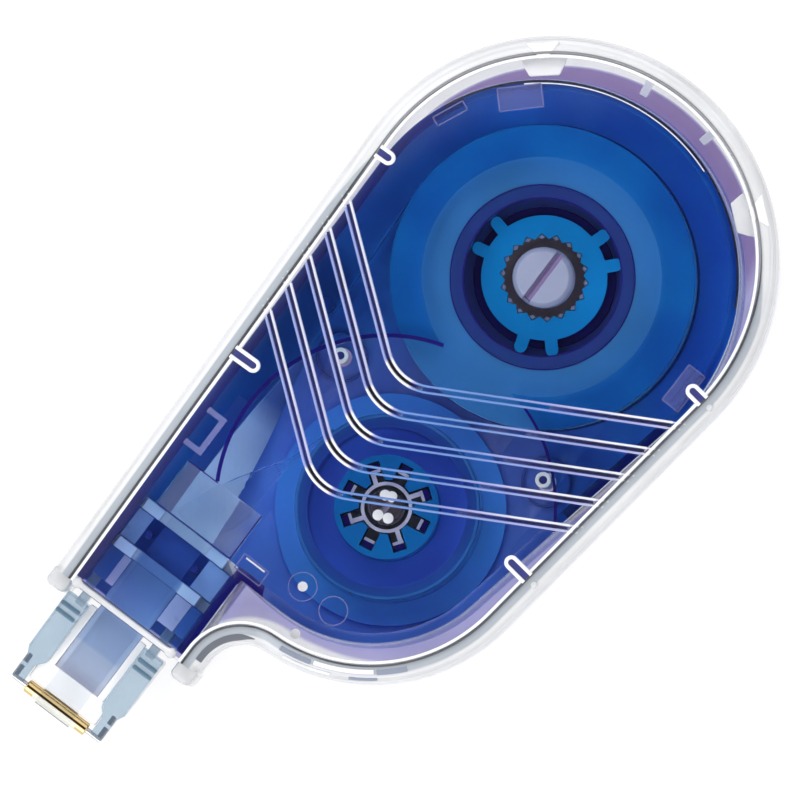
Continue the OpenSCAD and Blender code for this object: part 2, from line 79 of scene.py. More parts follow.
# marks on the refill's front plate stand just clear of it
MARK_Z = PLATE_TOP + 0.02
STAR_TOP, BOSS_TOP = 8.95, 6.8
POSTS = ((-18.3, 11.5), (-16.1, -12.0))

# Head
HEAD_Y, TIP_X, MID_Z = 13.05, -63.7, 7.75
BARS = ((-47.2, -46.0), (-42.5, -41.3))
# height of the cheeks above and below the middle, along the head
CHEEK_HEIGHTS = ((-63.9, 0.7), (-59.7, 1.15), (-59.2, 1.5), (-53.4, 2.6))


def unit(a):
    return math.cos(math.radians(a)), math.sin(math.radians(a))


def polar(c, a, r, w=0.0):
    """Point at distance r from c in direction a, moved w to the left."""
    u = unit(a)
    return c[0] + u[0] * r - u[1] * w, c[1] + u[1] * r + u[0] * w


def rect(x0, x1, y0, y1):
    return [(x0, y0), (x1, y0), (x1, y1), (x0, y1)]


def between(table, x):
    """Value at x on a line through points of a table, level past its last point."""
    for (x0, v0), (x1, v1) in zip(table, table[1:]):
        if x <= x1:
            return v0 + (v1 - v0) * (x - x0) / (x1 - x0)
    return table[-1][1]


def tangent_normal(c1, r1, c2, r2):
    """Direction of the outward normal of two circles' lower common tangent."""
    dx, dy = c1[0] - c2[0], c1[1] - c2[1]
    return math.degrees(math.atan2(dy, dx) - math.acos((r2 - r1) / math.hypot(dx, dy)))


def arc(c, r, a0, a1, step=2.0, inward=False):
    """Points on an arc with the directions out of its circle, or into it."""
    n = max(2, int(abs(a1 - a0) / step) + 1)
    flip = -1 if inward else 1
    angles = [a0 + (a1 - a0) * i / n for i in range(n + 1)]
    return [(polar(c, a, r), (flip * unit(a)[0], flip * unit(a)[1])) for a in angles]


# directions in which the case's two straight long sides face
TOP_NORMAL = 90 + TOP_SLOPE
LOW_NORMAL = tangent_normal(BULB_C, BULB_R, BELLY_C, BELLY_R)


def side_y(normal, x):
    """Height in plan of a straight side at x."""
    n = unit(normal)
    return BULB_C[1] + (BULB_R - n[0] * (x - BULB_C[0])) / n[1]


def face_path():
    """The face's edge from the mouth's upper corner round bulb and belly to its lower one, with normals."""
    meet = math.degrees(math.atan2(BELLY_C[1] - FILLET_C[1], BELLY_C[0] - FILLET_C[0]))
    n = unit(TOP_NORMAL)
    start = (MOUTH_X, side_y(TOP_NORMAL, MOUTH_X))
    end = polar(BULB_C, TOP_NORMAL, BULB_R)
    steps = 12
    pts = []
    for i in range(steps):
        pts.append((tuple(s + (e - s) * i / steps for s, e in zip(start, end)), n))
    pts += arc(BULB_C, BULB_R, TOP_NORMAL, LOW_NORMAL)
    pts += arc(BELLY_C, BELLY_R, LOW_NORMAL, meet - 180)
    # the fillet's normals point out of the case, so they are the arc's own reversed
    pts += arc(FILLET_C, FILLET_R, meet, 90, 4, inward=True)[1:]
    pts.append(((MOUTH_X, NECK_LOW), (0.0, -1.0)))
    return pts


PATH = face_path()


def offset_path(d):
    """The face's edge moved outward by d, ends kept at the mouth."""
    out = [(p[0] + n[0] * d, p[1] + n[1] * d) for p, n in PATH]
    out[0] = (MOUTH_X, out[0][1])
    return out


def edge_ring(d, z):
    """The face's edge moved outward by d, at height z."""
    return [(x, y, z) for x, y in offset_path(d)]


def refill_path(e):
    """Refill's edge moved outward by e, from the mouth's upper corner round to its lower corner."""
    low = tangent_normal((0, 0), REFILL_R, REFILL_BELLY_C, REFILL_BELLY_R)
    slope = math.radians(REFILL_SLOPE)
    top_y = (REFILL_R + e) / math.cos(slope) + REFILL_MOUTH_X * math.tan(slope)
    pts = [(REFILL_MOUTH_X, top_y)]
    pts += [p for p, _ in arc((0, 0), REFILL_R + e, 90 + REFILL_SLOPE, low)]
    pts += [p for p, _ in arc(REFILL_BELLY_C, REFILL_BELLY_R + e, low, -180)]
    pts.append((REFILL_BELLY_C[0] - REFILL_BELLY_R - e, REFILL_NECK_LOW - e))
    pts.append((REFILL_MOUTH_X, REFILL_NECK_LOW - e))
    return pts


# Meshes

def loft(rings, closed_ring=True, closed_loft=False):
    """Vertices and faces of a skin through rings of equally many points."""
    n = len(rings[0])
    verts = [p for ring in rings for p in ring]
    faces = []
    spans = len(rings) if closed_loft else len(rings) - 1
    for i in range(spans):
        a, b = i * n, (i + 1) % len(rings) * n
        for j in range(n if closed_ring else n - 1):
            k = (j + 1) % n
            faces.append((a + j, a + k, b + k, b + j))
    if not closed_loft:
        faces.append(tuple(range(n)))
        faces.append(tuple(range((len(rings) - 1) * n, len(rings) * n)))
    return verts, faces


def join(*parts):
    """Several (vertices, faces) as one."""
    verts, faces = [], []
    for v, f in parts:
        faces += [tuple(i + len(verts) for i in face) for face in f]
        verts += v
    return verts, faces


def clean(mesh, across=None):
    """Joins doubled points and smooths the faces. across gives the material a number a vertex."""
    bm = bmesh.new()
    bm.from_mesh(mesh)
    if across is not None:
        layer = bm.verts.layers.float.new("across")
        for v, d in zip(bm.verts, across):
            v[layer] = d
    bmesh.ops.remove_doubles(bm, verts=bm.verts, dist=1e-7)
    bmesh.ops.recalc_face_normals(bm, faces=bm.faces)
    bm.to_mesh(mesh)
    bm.free()
    mesh.shade_smooth()
    mesh.set_sharp_from_angle(angle=SHARP)


def piece(name, shape, body, material, slot, replaces=(), across=None, bevel=0.0):
    """Object of (vertices, faces) that rides on a body."""
    verts, faces = shape
    mesh = bpy.data.meshes.new(name)
    mesh.from_pydata([(x * MM, y * MM, z * MM) for x, y, z in verts], [], faces)
    clean(mesh, across)
    return place(name, mesh, body, material, slot, replaces, bevel)


def new_object(name, data):
    obj = bpy.data.objects.new(name, data)
    bpy.context.scene.collection.objects.link(obj)
    return obj


def place(name, mesh, body, material, slot, replaces=(), bevel=0.0):
    """Object of a finished mesh, with its material, body and the nodes that it stands for. slot is not used.
    """
    mesh.materials.clear()
    mesh.materials.append(material)
    obj = new_object(name, mesh)
    if bevel:
        m = obj.modifiers.new("edges", "BEVEL")
        m.width = bevel * MM
        m.segments = 2
        m.limit_method = "ANGLE"
        m.angle_limit = math.radians(40)
        m.harden_normals = True
    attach(obj, body)
    if replaces:
        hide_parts(*replaces)
    return obj


def cover_piece(name, shape, material, **more):
    return piece(name, shape, "cover", material, "clear_case", ["front_cover"], **more)


def case_piece(name, shape, material, **more):
    return piece(name, shape, "case", material, "clear_case", ["rear_case"], **more)


def head_piece(name, shape, material, **more):
    return piece(name, shape, "refill", material, "clear_head", ["head_frame"], **more)


def tray_piece(name, shape, material):
    piece(name, shape, "refill", material, "blue_refill", ["refill_base"])


def refill_mark(name, shape, material):
    """Trim that stands on the refill and replaces no node."""
    piece(name, shape, "refill", material, "blue_refill")


def lathe(profile, c=(0.0, 0.0), n=96):
    """Solid of revolution of a profile of (radius, height), closed on itself unless it begins on the axis."""
    rings = [[(*polar(c, 360 * i / n, r), z) for r, z in profile] for i in range(n)]
    return loft(rings, closed_ring=profile[0][0] > 0, closed_loft=True)


def lathes(profile, places, n):
    return join(*[lathe(profile, p, n) for p in places])


def ring_profile(r0, r1, z0, z1, b=0.08):
    """Rectangle with softened corners, as a profile for lathe."""
    return [(r0 + b, z0), (r1 - b, z0), (r1, z0 + b), (r1, z1 - b),
            (r1 - b, z1), (r0 + b, z1), (r0, z1 - b), (r0, z0 + b)]


def sweep(path, profile):
    """Profile of (distance out, height) carried along points with normals."""
    return loft([[(p[0] + n[0] * d, p[1] + n[1] * d, z) for d, z in profile] for p, n in path])


def turned(profile, x, y, z, angles):
    """Rings of a profile of (radius, place along Y) turned about an axis along Y."""
    return [[(x + r * unit(a)[0], y + d, z + r * unit(a)[1]) for r, d in profile] for a in angles]


def bead(w, h, z, n=6):
    """Half-round section of width w and height h, standing on z."""
    pts = [(-w / 2 * math.cos(math.pi * i / n), z + h * math.sin(math.pi * i / n)) for i in range(n + 1)]
    return pts + [(w / 2, z - 0.05), (-w / 2, z - 0.05)]


def along(points):
    """Points with left-hand normals, for sweep."""
    out = []
    for i, p in enumerate(points):
        a, b = points[max(i - 1, 0)], points[min(i + 1, len(points) - 1)]
        dx, dy = b[0] - a[0], b[1] - a[1]
        length = math.hypot(dx, dy)
        out.append((p, (-dy / length, dx / length)))
    return out


def prism(plan, z0, z1):
    """Upright solid on a plan. Heights are numbers or functions of x."""
    low = z0 if callable(z0) else lambda x: z0
    high = z1 if callable(z1) else lambda x: z1
    return loft([[(x, y, low(x)) for x, y in plan], [(x, y, high(x)) for x, y in plan]])


def block(c, a, r0, r1, w0, w1, z0, z1):
    """Upright block between two distances from c in direction a and two distances to the left."""
    return prism([polar(c, a, r, w) for r, w in rect(r0, r1, w0, w1)], z0, z1)


def bar(p, q, w):
    """Square bar between two points, width w."""
    dx, dy = q[0] - p[0], q[1] - p[1]
    length = math.hypot(dx, dy)
    n = (-dy / length * w / 2, dx / length * w / 2)
    corners = ((-1, 0), (1, 0), (1, w), (-1, w))
    return loft([[(c[0] + s * n[0], c[1] + s * n[1], c[2] + up) for s, up in corners] for c in (p, q)])


def mark_line(p, q, w):
    """Square bar on the refill's front plate."""
    return bar((*p, MARK_Z), (*q, MARK_Z), w)


def mark_outline(corners, w):
    """Closed outline of bars on the refill's front plate."""
    return [mark_line(p, q, w) for p, q in zip(corners, corners[1:] + corners[:1])]


def plate(name, loops, z0, z1, bevel, *looks):
    """Plate with holes and rounded edges, drawn as a filled curve. looks is what place needs."""
    curve = bpy.data.curves.new(name, "CURVE")
    curve.dimensions = "2D"
    curve.fill_mode = "BOTH"
    curve.extrude = ((z1 - z0) / 2 - bevel) * MM
    curve.bevel_depth = bevel * MM
    curve.bevel_resolution = 1
    curve.offset = -bevel * MM
    for loop in loops:
        spline = curve.splines.new("POLY")
        spline.points.add(len(loop) - 1)
        for point, (x, y) in zip(spline.points, loop):
            point.co = (x * MM, y * MM, 0, 1)
        spline.use_cyclic_u = True
    holder = new_object(name, curve)
    bpy.context.view_layer.update()
    mesh = bpy.data.meshes.new_from_object(holder.evaluated_get(bpy.context.evaluated_depsgraph_get()))
    bpy.data.objects.remove(holder)
    bpy.data.curves.remove(curve)
    mesh.transform(Matrix.Translation((0, 0, (z0 + z1) / 2 * MM)))
    mesh.name = name
    clean(mesh)
    place(name, mesh, *looks)


def stretch(points, start, end):
    """Part of a line of points between two places counted in points."""
    def at(t):
        i = min(int(t), len(points) - 2)
        return tuple(a + (b - a) * (t - i) for a, b in zip(points[i], points[i + 1]))
    inner = [points[i] for i in range(len(points)) if start < i < end]
    return [at(start)] + inner + [at(end)]


def circle(c, r, n=96):
    return [polar(c, 360 * i / n, r) for i in range(n)]


# Materials

def new_node(tree, kind, inputs=(), **settings):
    """Shader node with some of its settings and inputs set."""
    node = tree.nodes.new("ShaderNode" + kind)
    for name, value in settings.items():
        setattr(node, name, value)
    for name, value in dict(inputs).items():
        node.inputs[name].default_value = value
    return node


def ramp_node(tree, stops):
    """Colour ramp through pairs of place and colour, the first at 0 and the last at 1."""
    ramp = new_node(tree, "ValToRGB")
    elements = ramp.color_ramp.elements
    elements[0].color = (*stops[0][1], 1)
    elements[1].color = (*stops[-1][1], 1)
    for share, colour in stops[1:-1]:
        elements.new(share).color = (*colour, 1)
    return ramp


def noise(tree, coords, scale, detail):
    node = new_node(tree, "TexNoise", {"Scale": scale, "Detail": detail})
    tree.links.new(coords, node.inputs["Vector"])
    return node.outputs["Fac"]


def banded(tree, tint, measure, bands):
    """A colour multiplied by bands of colour that follow a measure."""
    low, high = bands[0][0], bands[-1][0]
    span = new_node(tree, "MapRange", {"From Min": low, "From Max": high})
    stripes = ramp_node(tree, [((d - low) / (high - low), colour) for d, colour in bands])
    both = new_node(tree, "Mix", {"Factor": 1}, data_type="RGBA", blend_type="MULTIPLY")
    tree.links.new(measure, span.inputs["Value"])
    tree.links.new(span.outputs["Result"], stripes.inputs["Fac"])
    tree.links.new(tint, both.inputs[6])
    tree.links.new(stripes.outputs["Color"], both.inputs[7])
    return both.outputs[2]


def take_up_distance(tree, coords):
    """Distance in plan from the take-up axis."""
    axis = (TAKE_UP[0] * MM, TAKE_UP[1] * MM, 0)
    flat = new_node(tree, "VectorMath", {1: (1, 1, 0)}, operation="MULTIPLY")
    radius = new_node(tree, "VectorMath", {1: axis}, operation="DISTANCE")
    tree.links.new(coords, flat.inputs[0])
    tree.links.new(flat.outputs[0], radius.inputs[0])
    return radius.outputs["Value"]


def plastic(name, colour, transmission=0.0, roughness=0.2, ior=1.46, metallic=0.0, flow=None, grain=900.0,
            bump=0.05, bands=None, along_x=None, round_axis=None):
    """Moulded plastic: flow marks in its colour, uneven gloss and a fine surface grain.

    flow is the colour that the flow marks lead to. bands colours the piece by its across attribute,
    along_x by its place along the length and round_axis by its distance from the take-up axis."""
    mat = bpy.data.materials.new(name)
    mat.use_nodes = True
    tree = mat.node_tree
    links = tree.links
    bsdf = tree.nodes["Principled BSDF"]
    for key, value in (("Transmission Weight", transmission), ("IOR", ior), ("Metallic", metallic)):
        bsdf.inputs[key].default_value = value
    coords = new_node(tree, "TexCoord").outputs["Object"]
    marks = noise(tree, coords, 130, 3)
    fine = noise(tree, coords, grain, 4)
    ramp = new_node(tree, "ValToRGB")
    shades = (colour, flow or [0.92 * c for c in colour])
    for element, share, shade in zip(ramp.color_ramp.elements, (0.35, 0.65), shades):
        element.position = share
        element.color = (*shade, 1)
    links.new(marks, ramp.inputs["Fac"])
    tint = ramp.outputs["Color"]
    if bands:
        across = new_node(tree, "Attribute", attribute_name="across")
        tint = banded(tree, tint, across.outputs["Fac"], bands)
    if along_x:
        split = new_node(tree, "SeparateXYZ")
        links.new(coords, split.inputs[0])
        tint = banded(tree, tint, split.outputs["X"], [(x * MM, c) for x, c in along_x])
    if round_axis:
        tint = banded(tree, tint, take_up_distance(tree, coords), [(r * MM, c) for r, c in round_axis])
    gloss = new_node(tree, "MapRange", {"To Min": roughness * 0.7, "To Max": roughness * 1.3})
    relief = new_node(tree, "Bump", {"Strength": bump, "Distance": 0.00002})
    links.new(tint, bsdf.inputs["Base Color"])
    links.new(fine, gloss.inputs["Value"])
    links.new(gloss.outputs["Result"], bsdf.inputs["Roughness"])
    links.new(fine, relief.inputs["Height"])
    links.new(relief.outputs["Normal"], bsdf.inputs["Normal"])
    return mat


WHITE = (0.97, 0.975, 0.985)
# across the rim, painted shade and light that stand for its refraction: a grey line on the bulb or a dark one
# elsewhere, then a grey band and a clear edge
RIM_PAINTED_LIGHT_BANDS = (
    (-0.45, (0.3, 0.3, 0.32)), (-0.15, (0.3, 0.3, 0.32)), (0.0, (0.06, 0.06, 0.07)),
    (0.2, (0.06, 0.06, 0.07)), (0.28, (0.5, 0.55, 0.61)), (0.92, (0.6, 0.64, 0.69)),
    (1.02, (0.9, 0.91, 0.93)), (1.1, (1, 1, 1)), (3.3, (1, 1, 1)))
# the gap round the refill, painted light and shade: deep mauve shade on the bulb, lavender tint of light off
# the blue refill elsewhere, and a white edge
GAP_PAINTED_SHADE_BANDS = (
    (-8.0, (0.32, 0.24, 0.5)), (-5.0, (0.34, 0.26, 0.52)), (-3.2, (0.56, 0.54, 0.8)),
    (-2.0, (0.5, 0.48, 0.76)), (-0.85, (0.54, 0.51, 0.77)), (-0.5, (1, 1, 1)), (0.5, (1, 1, 1)))
# ribs by their painted highlight, their grooves by their painted shade, bars by the distance from the head's
# centre line
RIB_HIGHLIGHT_BANDS = ((0.0, (0.1, 0.2, 0.5)), (0.45, (0.18, 0.33, 0.7)), (0.7, (0.42, 0.44, 0.78)), (1.0, (1, 1, 1)))
GROOVE_SHADE_BANDS = ((0.0, (0.85, 0.9, 1.0)), (0.5, (0.1, 0.12, 0.4)), (1.0, (0.01, 0.01, 0.02)))
BAR_BANDS = ((0.0, (0.36, 0.5, 0.78)), (2.3, (0.36, 0.5, 0.78)), (2.6, (1, 1, 1)), (16.0, (1, 1, 1)))
# along the length, by x
PLATE_TINTS = (
    (-52, (0.58, 0.76, 0.93)), (-41.3, (0.56, 0.76, 0.93)),
    (-40.8, (0.36, 0.86, 0.95)), (21, (0.36, 0.88, 1.0)))
TRAY_TINTS = (
    (-52, (0.5, 0.8, 0.9)), (-28, (0.5, 0.76, 0.9)), (-20, (0.45, 0.5, 0.62)), (-12, (0.45, 0.5, 0.62)),
    (-9, (1, 1, 1)), (21, (1, 1, 1)))
# painted light and shade on the ribbon: white outside the case, blue inside it as light through the refill's
# blue plastic, darker between the bars and past x -26
TAPE_PAINTED_LIGHT = (
    (-64, (1, 1, 1)), (-54, (1, 1, 1)), (-50, (0.42, 0.6, 1.0)), (-47.3, (0.44, 0.62, 1.0)),
    (-47.1, (0.08, 0.18, 0.6)), (-42, (0.08, 0.18, 0.6)), (-41, (0.48, 0.68, 1.0)), (-29, (0.32, 0.52, 0.98)),
    (-26, (0.06, 0.14, 0.5)), (-2, (0.05, 0.14, 0.5)))
# the grey mauve at the ramp's end is a painted shadow
HEAD_TINTS_AND_SHADE = (
    (-60.4, (0.6, 0.6, 0.72)), (-60, (0.58, 0.61, 0.74)), (-59, (0.64, 0.71, 0.86)),
    (-57, (0.6, 0.68, 0.84)), (-56.6, (0.46, 0.58, 0.8)), (-53.5, (0.44, 0.56, 0.78)),
    (-52, (0.5, 0.65, 0.95)), (-47, (0.5, 0.65, 0.95)))
# round the take-up axis, by radius
CORE_TINTS = (
    (0, (0.004, 0.17, 0.55)), (5.2, (0.004, 0.17, 0.55)), (5.3, (0.06, 0.19, 1.0)), (7.7, (0.06, 0.19, 1.0)),
    (8.1, (0.02, 0.07, 0.4)), (9.5, (0.015, 0.1, 0.42)))

clear = plastic("clear_plastic", WHITE, 1.0, 0.03, bump=0.02)
clear_rim_painted_light = plastic("clear_rim_painted_light", WHITE, 0.35, 0.06, bump=0.02, bands=RIM_PAINTED_LIGHT_BANDS)
clear_floor_painted_shade = plastic("clear_floor_painted_shade", WHITE, 1.0, 0.05, bump=0.02, bands=GAP_PAINTED_SHADE_BANDS)
frosted = plastic("frosted_clear", (0.93, 0.94, 0.96), 0.35, 0.25)
knob_clear = plastic("knob_clear", WHITE, 0.6, 0.08, bump=0.02)
bend_painted_shade = plastic("bend_painted_shade", (0.2, 0.22, 0.27), 0.3, 0.1)
rib_edge_highlight = plastic("rib_edge_highlight", (0.97, 0.97, 1.0), 0.1, 0.12, bands=RIB_HIGHLIGHT_BANDS)
rib_groove_shade = plastic("rib_groove_shade", (1.0, 1.0, 1.0), 0.9, 0.1, bands=GROOVE_SHADE_BANDS)
mark_fill = plastic("mark_fill", (0.1, 0.11, 0.36), 0.5, 0.1)
refill_plate_blue = plastic("refill_plate_blue", (1.0, 1.0, 1.0), 1.0, 0.07, bump=0.01, flow=(1.0, 0.86, 1.0),
                            along_x=PLATE_TINTS)
refill_blue = plastic("refill_blue", (0.2, 0.36, 1.0), 0.15, 0.12, bump=0.02, flow=(0.19, 0.29, 0.95),
                      along_x=TRAY_TINTS)
wall_navy = plastic("wall_navy", (0.014, 0.016, 0.3), 0.1, 0.15, flow=(0.02, 0.015, 0.24))
refill_navy = plastic("refill_navy", (0.012, 0.01, 0.2), 0.1, 0.15, flow=(0.02, 0.01, 0.16))
reel_blue = plastic("reel_blue", (0.08, 0.35, 0.78), 0.6, 0.15)
core_blue = plastic("core_blue", (0.025, 0.05, 0.28), 0.3, 0.2, flow=(0.02, 0.06, 0.3))
flange_blue = plastic("flange_blue", (0.07, 0.34, 1.0), 0.2, 0.2, flow=(0.07, 0.27, 0.95))
wall_blue = plastic("wall_blue", (0.05, 0.14, 0.6), 0.3, 0.15, flow=(0.05, 0.12, 0.55))
disc_blue = plastic("disc_blue", (0.004, 0.38, 0.98), 0.3, 0.2)
cyan_blue = plastic("cyan_blue", (1.0, 1.0, 1.0), 0.3, 0.18, flow=(1.0, 0.85, 0.95), round_axis=CORE_TINTS)
line_cyan = plastic("line_cyan", (0.03, 0.15, 0.5), 0.2, 0.15)
ring_faint = plastic("ring_faint", (0.09, 0.14, 0.5), 0.4, 0.15)
guide_navy = plastic("guide_navy", (0.04, 0.06, 0.3), 0.2, 0.2)
pane_blue = plastic("pane_blue", (0.84, 0.93, 1.0), 0.95, 0.08, bump=0.02, flow=(0.77, 0.87, 1.0))
tape_white = plastic("tape_white", (0.92, 0.92, 0.9), 0.0, 0.6, grain=2500, bump=0.2)
tape_painted_light = plastic("tape_ribbon_painted_light", (0.92, 0.92, 0.9), 0.0, 0.5, grain=2500, bump=0.2, along_x=TAPE_PAINTED_LIGHT)
tape_cream_highlight = plastic("tape_cream_highlight", (0.84, 0.81, 0.7), 0.0, 0.4, grain=2500, bump=0.2)
film_clear = plastic("film_clear", (0.93, 0.95, 0.98), 1.0, 0.06, ior=1.2, bump=0.02)
black = plastic("black_plastic", (0.012, 0.016, 0.03), 0.0, 0.3)
pale = plastic("pale_plastic", (0.6, 0.62, 0.85), 0.0, 0.25)
clip_pale = plastic("clip_pale", (0.4, 0.44, 0.8), 0.6, 0.15)
clip_pane = plastic("clip_pane", (0.72, 0.74, 0.96), 0.92, 0.2, bump=0.02)
segment_grey = plastic("segment_grey", (0.45, 0.5, 0.62), 0.4, 0.15)
gear_grey = plastic("gear_plastic", (0.3, 0.36, 0.62), 0.1, 0.35)
spindle_grey = plastic("spindle_grey", (0.5, 0.55, 0.78), 0.3, 0.2)
spindle_dark = plastic("spindle_dark", (0.06, 0.05, 0.07), 0.2, 0.2)
pad_white = plastic("pad_white", (0.95, 0.95, 0.96), 0.0, 0.1)
head_clear = plastic("head_clear", (0.46, 0.58, 0.68), 0.75, 0.12, flow=(0.54, 0.66, 0.76))
head_white = plastic("head_white", (0.97, 0.975, 0.98), 0.05, 0.35)
bar_white = plastic("bar_white", (0.97, 0.975, 0.98), 0.05, 0.35, bands=BAR_BANDS)
strip_mauve = plastic("strip_mauve", (0.8, 0.7, 0.9), 0.1, 0.3)
panel_blue = plastic("panel_blue", (0.6, 0.76, 1.0), 0.1, 0.3)
window_navy = plastic("window_navy", (0.09, 0.2, 0.55), 0.1, 0.2)
bore_shade_navy = plastic("bore_shade_navy", (0.03, 0.03, 0.2), 0.0, 0.3)
line_grey = plastic("line_grey", (0.08, 0.08, 0.16), 0.2, 0.2)
head_band = plastic("head_band", (0.95, 0.97, 1.0), 0.4, 0.2, along_x=HEAD_TINTS_AND_SHADE)
ridge_blue = plastic("ridge_blue", (0.2, 0.34, 0.46), 0.5, 0.15)
head_dark = plastic("head_dark", (0.16, 0.2, 0.27), 0.4, 0.2)
gold = plastic("gold", (0.78, 0.57, 0.27), 0.0, 0.1, metallic=1.0, grain=3000)
steel = plastic("steel", (0.6, 0.6, 0.62), 0.0, 0.3, metallic=1.0, grain=3000)


# Front cover

def bulb_share(p):
    """1 on the bulb's round, falling to 0 on the straight sides."""
    a = math.degrees(math.atan2(p[1] - BULB_C[1], p[0] - BULB_C[0]))
    return max(0.0, min(1.0, (a + 70) / 25, (110 - a) / 25))


def cover():
    """Clear face, rim with a milky shoulder of painted refraction shade and a clear skirt, and the white line
    along the face's edge, a painted highlight.
    """
    steps = ((-0.12, FACE_UNDER), (-0.02, FACE_UNDER + 0.1), (-0.02, 13.85), (-0.08, 13.96), (-0.2, CASE_T))
    cover_piece("cover_face", loft([edge_ring(d, z) for d, z in steps]), clear)
    profile = [(0.02, 12.55), (0.02, 13.9), (0.07, 14.02), (0.16, 14.06), (0.26, 14.02), (0.32, 13.9)]
    profile += [(0.42, 13.84), *SHOULDER, (RIM_W, 7.2), (RIM_W - 0.1, 7.1), (WALL_IN + 0.1, 7.1)]
    profile += [(WALL_IN, 7.2), (WALL_IN, 12.2), (0.5, 12.45)]
    # on the bulb the painted dark line turns grey and the painted grey band clear
    bands = [d + (1.3 if d > 0.3 else -0.45) * bulb_share(p) for p, _ in PATH for d, _ in profile]
    rim = cover_piece("cover_rim", sweep(PATH, profile), clear_rim_painted_light, across=bands)
    rim.data.materials.append(clear)
    for face in rim.data.polygons:
        face.material_index = 1 if face.center.z < SKIRT_TOP * MM else 0
    # white line along the face's edge: a painted highlight
    edge = [(-0.36, CASE_T - 0.05), (-0.04, CASE_T - 0.2), (-0.06, CASE_T + 0.04), (-0.34, CASE_T + 0.04)]
    cover_piece("face_edge_highlight", sweep(PATH, edge), pad_white)


def bend_shade():
    """Dark strip of painted shade on the rim's shoulder in the neck's bend, thin at the belly's end."""
    middle, half_width, cuts = 1.27, 0.33, 6
    bend = arc(FILLET_C, FILLET_R, 20, 90, 4, inward=True)
    bend.append(((MOUTH_X + 1.2, NECK_LOW), (0.0, -1.0)))
    rings = []
    for i, (p, n) in enumerate(bend):
        half = half_width * min(1.0, 0.1 + i / 5)
        outs = [middle + half * k / cuts for k in range(-cuts, cuts + 1)]
        section = [(d, between(SHOULDER, d) + 0.04) for d in outs]
        section += [(d, z - 0.12) for d, z in section[::-1]]
        rings.append([(p[0] + n[0] * d, p[1] + n[1] * d, z) for d, z in section])
    cover_piece("bend_shade", loft(rings), bend_painted_shade)


def chevron(x, d=0.0):
    """Centre line of a rib with its round apex at x, moved sideways by d."""
    c = (x + RIB_BEND, RIB_Y)
    pts = [p for p, _ in arc(c, RIB_BEND + d, RIB_UP + 90, 360 + RIB_DOWN - 90, 6)]
    for a, normal, at in ((RIB_UP, TOP_NORMAL, 0), (RIB_DOWN, LOW_NORMAL, -1)):
        p, u, n = pts[at], unit(a), unit(normal)
        to_edge = BULB_R - 0.6 - (p[0] - BULB_C[0]) * n[0] - (p[1] - BULB_C[1]) * n[1]
        reach = to_edge / (u[0] * n[0] + u[1] * n[1])
        arm = [(p[0] + u[0] * reach * t / 10, p[1] + u[1] * reach * t / 10) for t in range(1, 11)]
        pts = arm[::-1] + pts if at == 0 else pts + arm
    return pts


def rib_painted_highlight(t, side):
    """Painted highlight on a rib's edge: the inner one on the upper arm, both in the bend, faint further on.
    """
    if t < BEND_START:
        return 0.95 - 0.5 * t if side < 0 else 0.62
    if t < BEND_END:
        return 1.0
    fade = 1 - (t - BEND_END) / 0.1
    end = 0.45 + (t - 0.78) * (3.4 if side < 0 else 1.4)
    return min(1.0, max(0.45, fade, end))


def rib_width(t):
    """Width of a rib's edge: full on the upper arm and in the bend, thin on the lower arm."""
    return 1.0 - 0.15 * min(1.0, max(0.0, (t - BEND_END) / 0.1))


def groove_painted_shade(t):
    """Painted shade in a rib's groove: on the upper arm, in the bend and at the lower arm's end."""
    if t < BEND_START:
        return 0.55
    if t < BEND_END:
        return 1.0
    return max(0.0, 1 - (t - BEND_END) / 0.1, min(0.75, (t - 0.78) * 5))


def shares(line):
    """How far along a line each of its points is, from 0 to 1."""
    return [k / (len(line) - 1) for k in range(len(line))]


def rib_tail(end, start):
    """Thin bar that carries a rib's edge on over the rim."""
    length = math.hypot(end[0] - start[0], end[1] - start[1])
    tip = tuple(e + (e - s) / length * 1.3 for e, s in zip(end, start))
    return bar((*end, 13.9), (*tip, 13.75), 0.16)


def ribs():
    """Chevron ribs on the face, each two edges with painted highlights and a groove of painted shade between
    them.
    """
    edges, lights, tails, grooves, groove_shades = [], [], [], [], []
    for i in range(RIB_COUNT):
        x = RIB_X + RIB_PITCH * i
        for d in (-0.31, 0.31):
            line = along(chevron(x, d))
            section = bead(0.3, 0.3, CASE_T)
            rings = []
            for (p, n), t in zip(line, shares(line)):
                w = rib_width(t)
                rings.append([(p[0] + n[0] * e * w, p[1] + n[1] * e * w, z) for e, z in section])
            edges.append(loft(rings))
            lights += [rib_painted_highlight(t, d) for t in shares(line) for _ in section]
            tails += [rib_tail(line[0][0], line[2][0]), rib_tail(line[-1][0], line[-3][0])]
        line = along(chevron(x))
        section = bead(0.3, 0.06, CASE_T + 0.02, 4)
        # one groove from the upper arm's end round the bend, one at the lower arm's end
        for first, last in ((-1, 0.67), (0.82, 2)):
            part = [(spot, t) for spot, t in zip(line, shares(line)) if first < t < last]
            grooves.append(sweep([spot for spot, _ in part], section))
            groove_shades += [groove_painted_shade(t) for _, t in part for _ in section]
    cover_piece("grip_rib_edges", join(*edges), rib_edge_highlight, across=lights)
    cover_piece("grip_rib_grooves", join(*grooves), rib_groove_shade, across=groove_shades)
    cover_piece("grip_rib_tails", join(*tails), frosted)


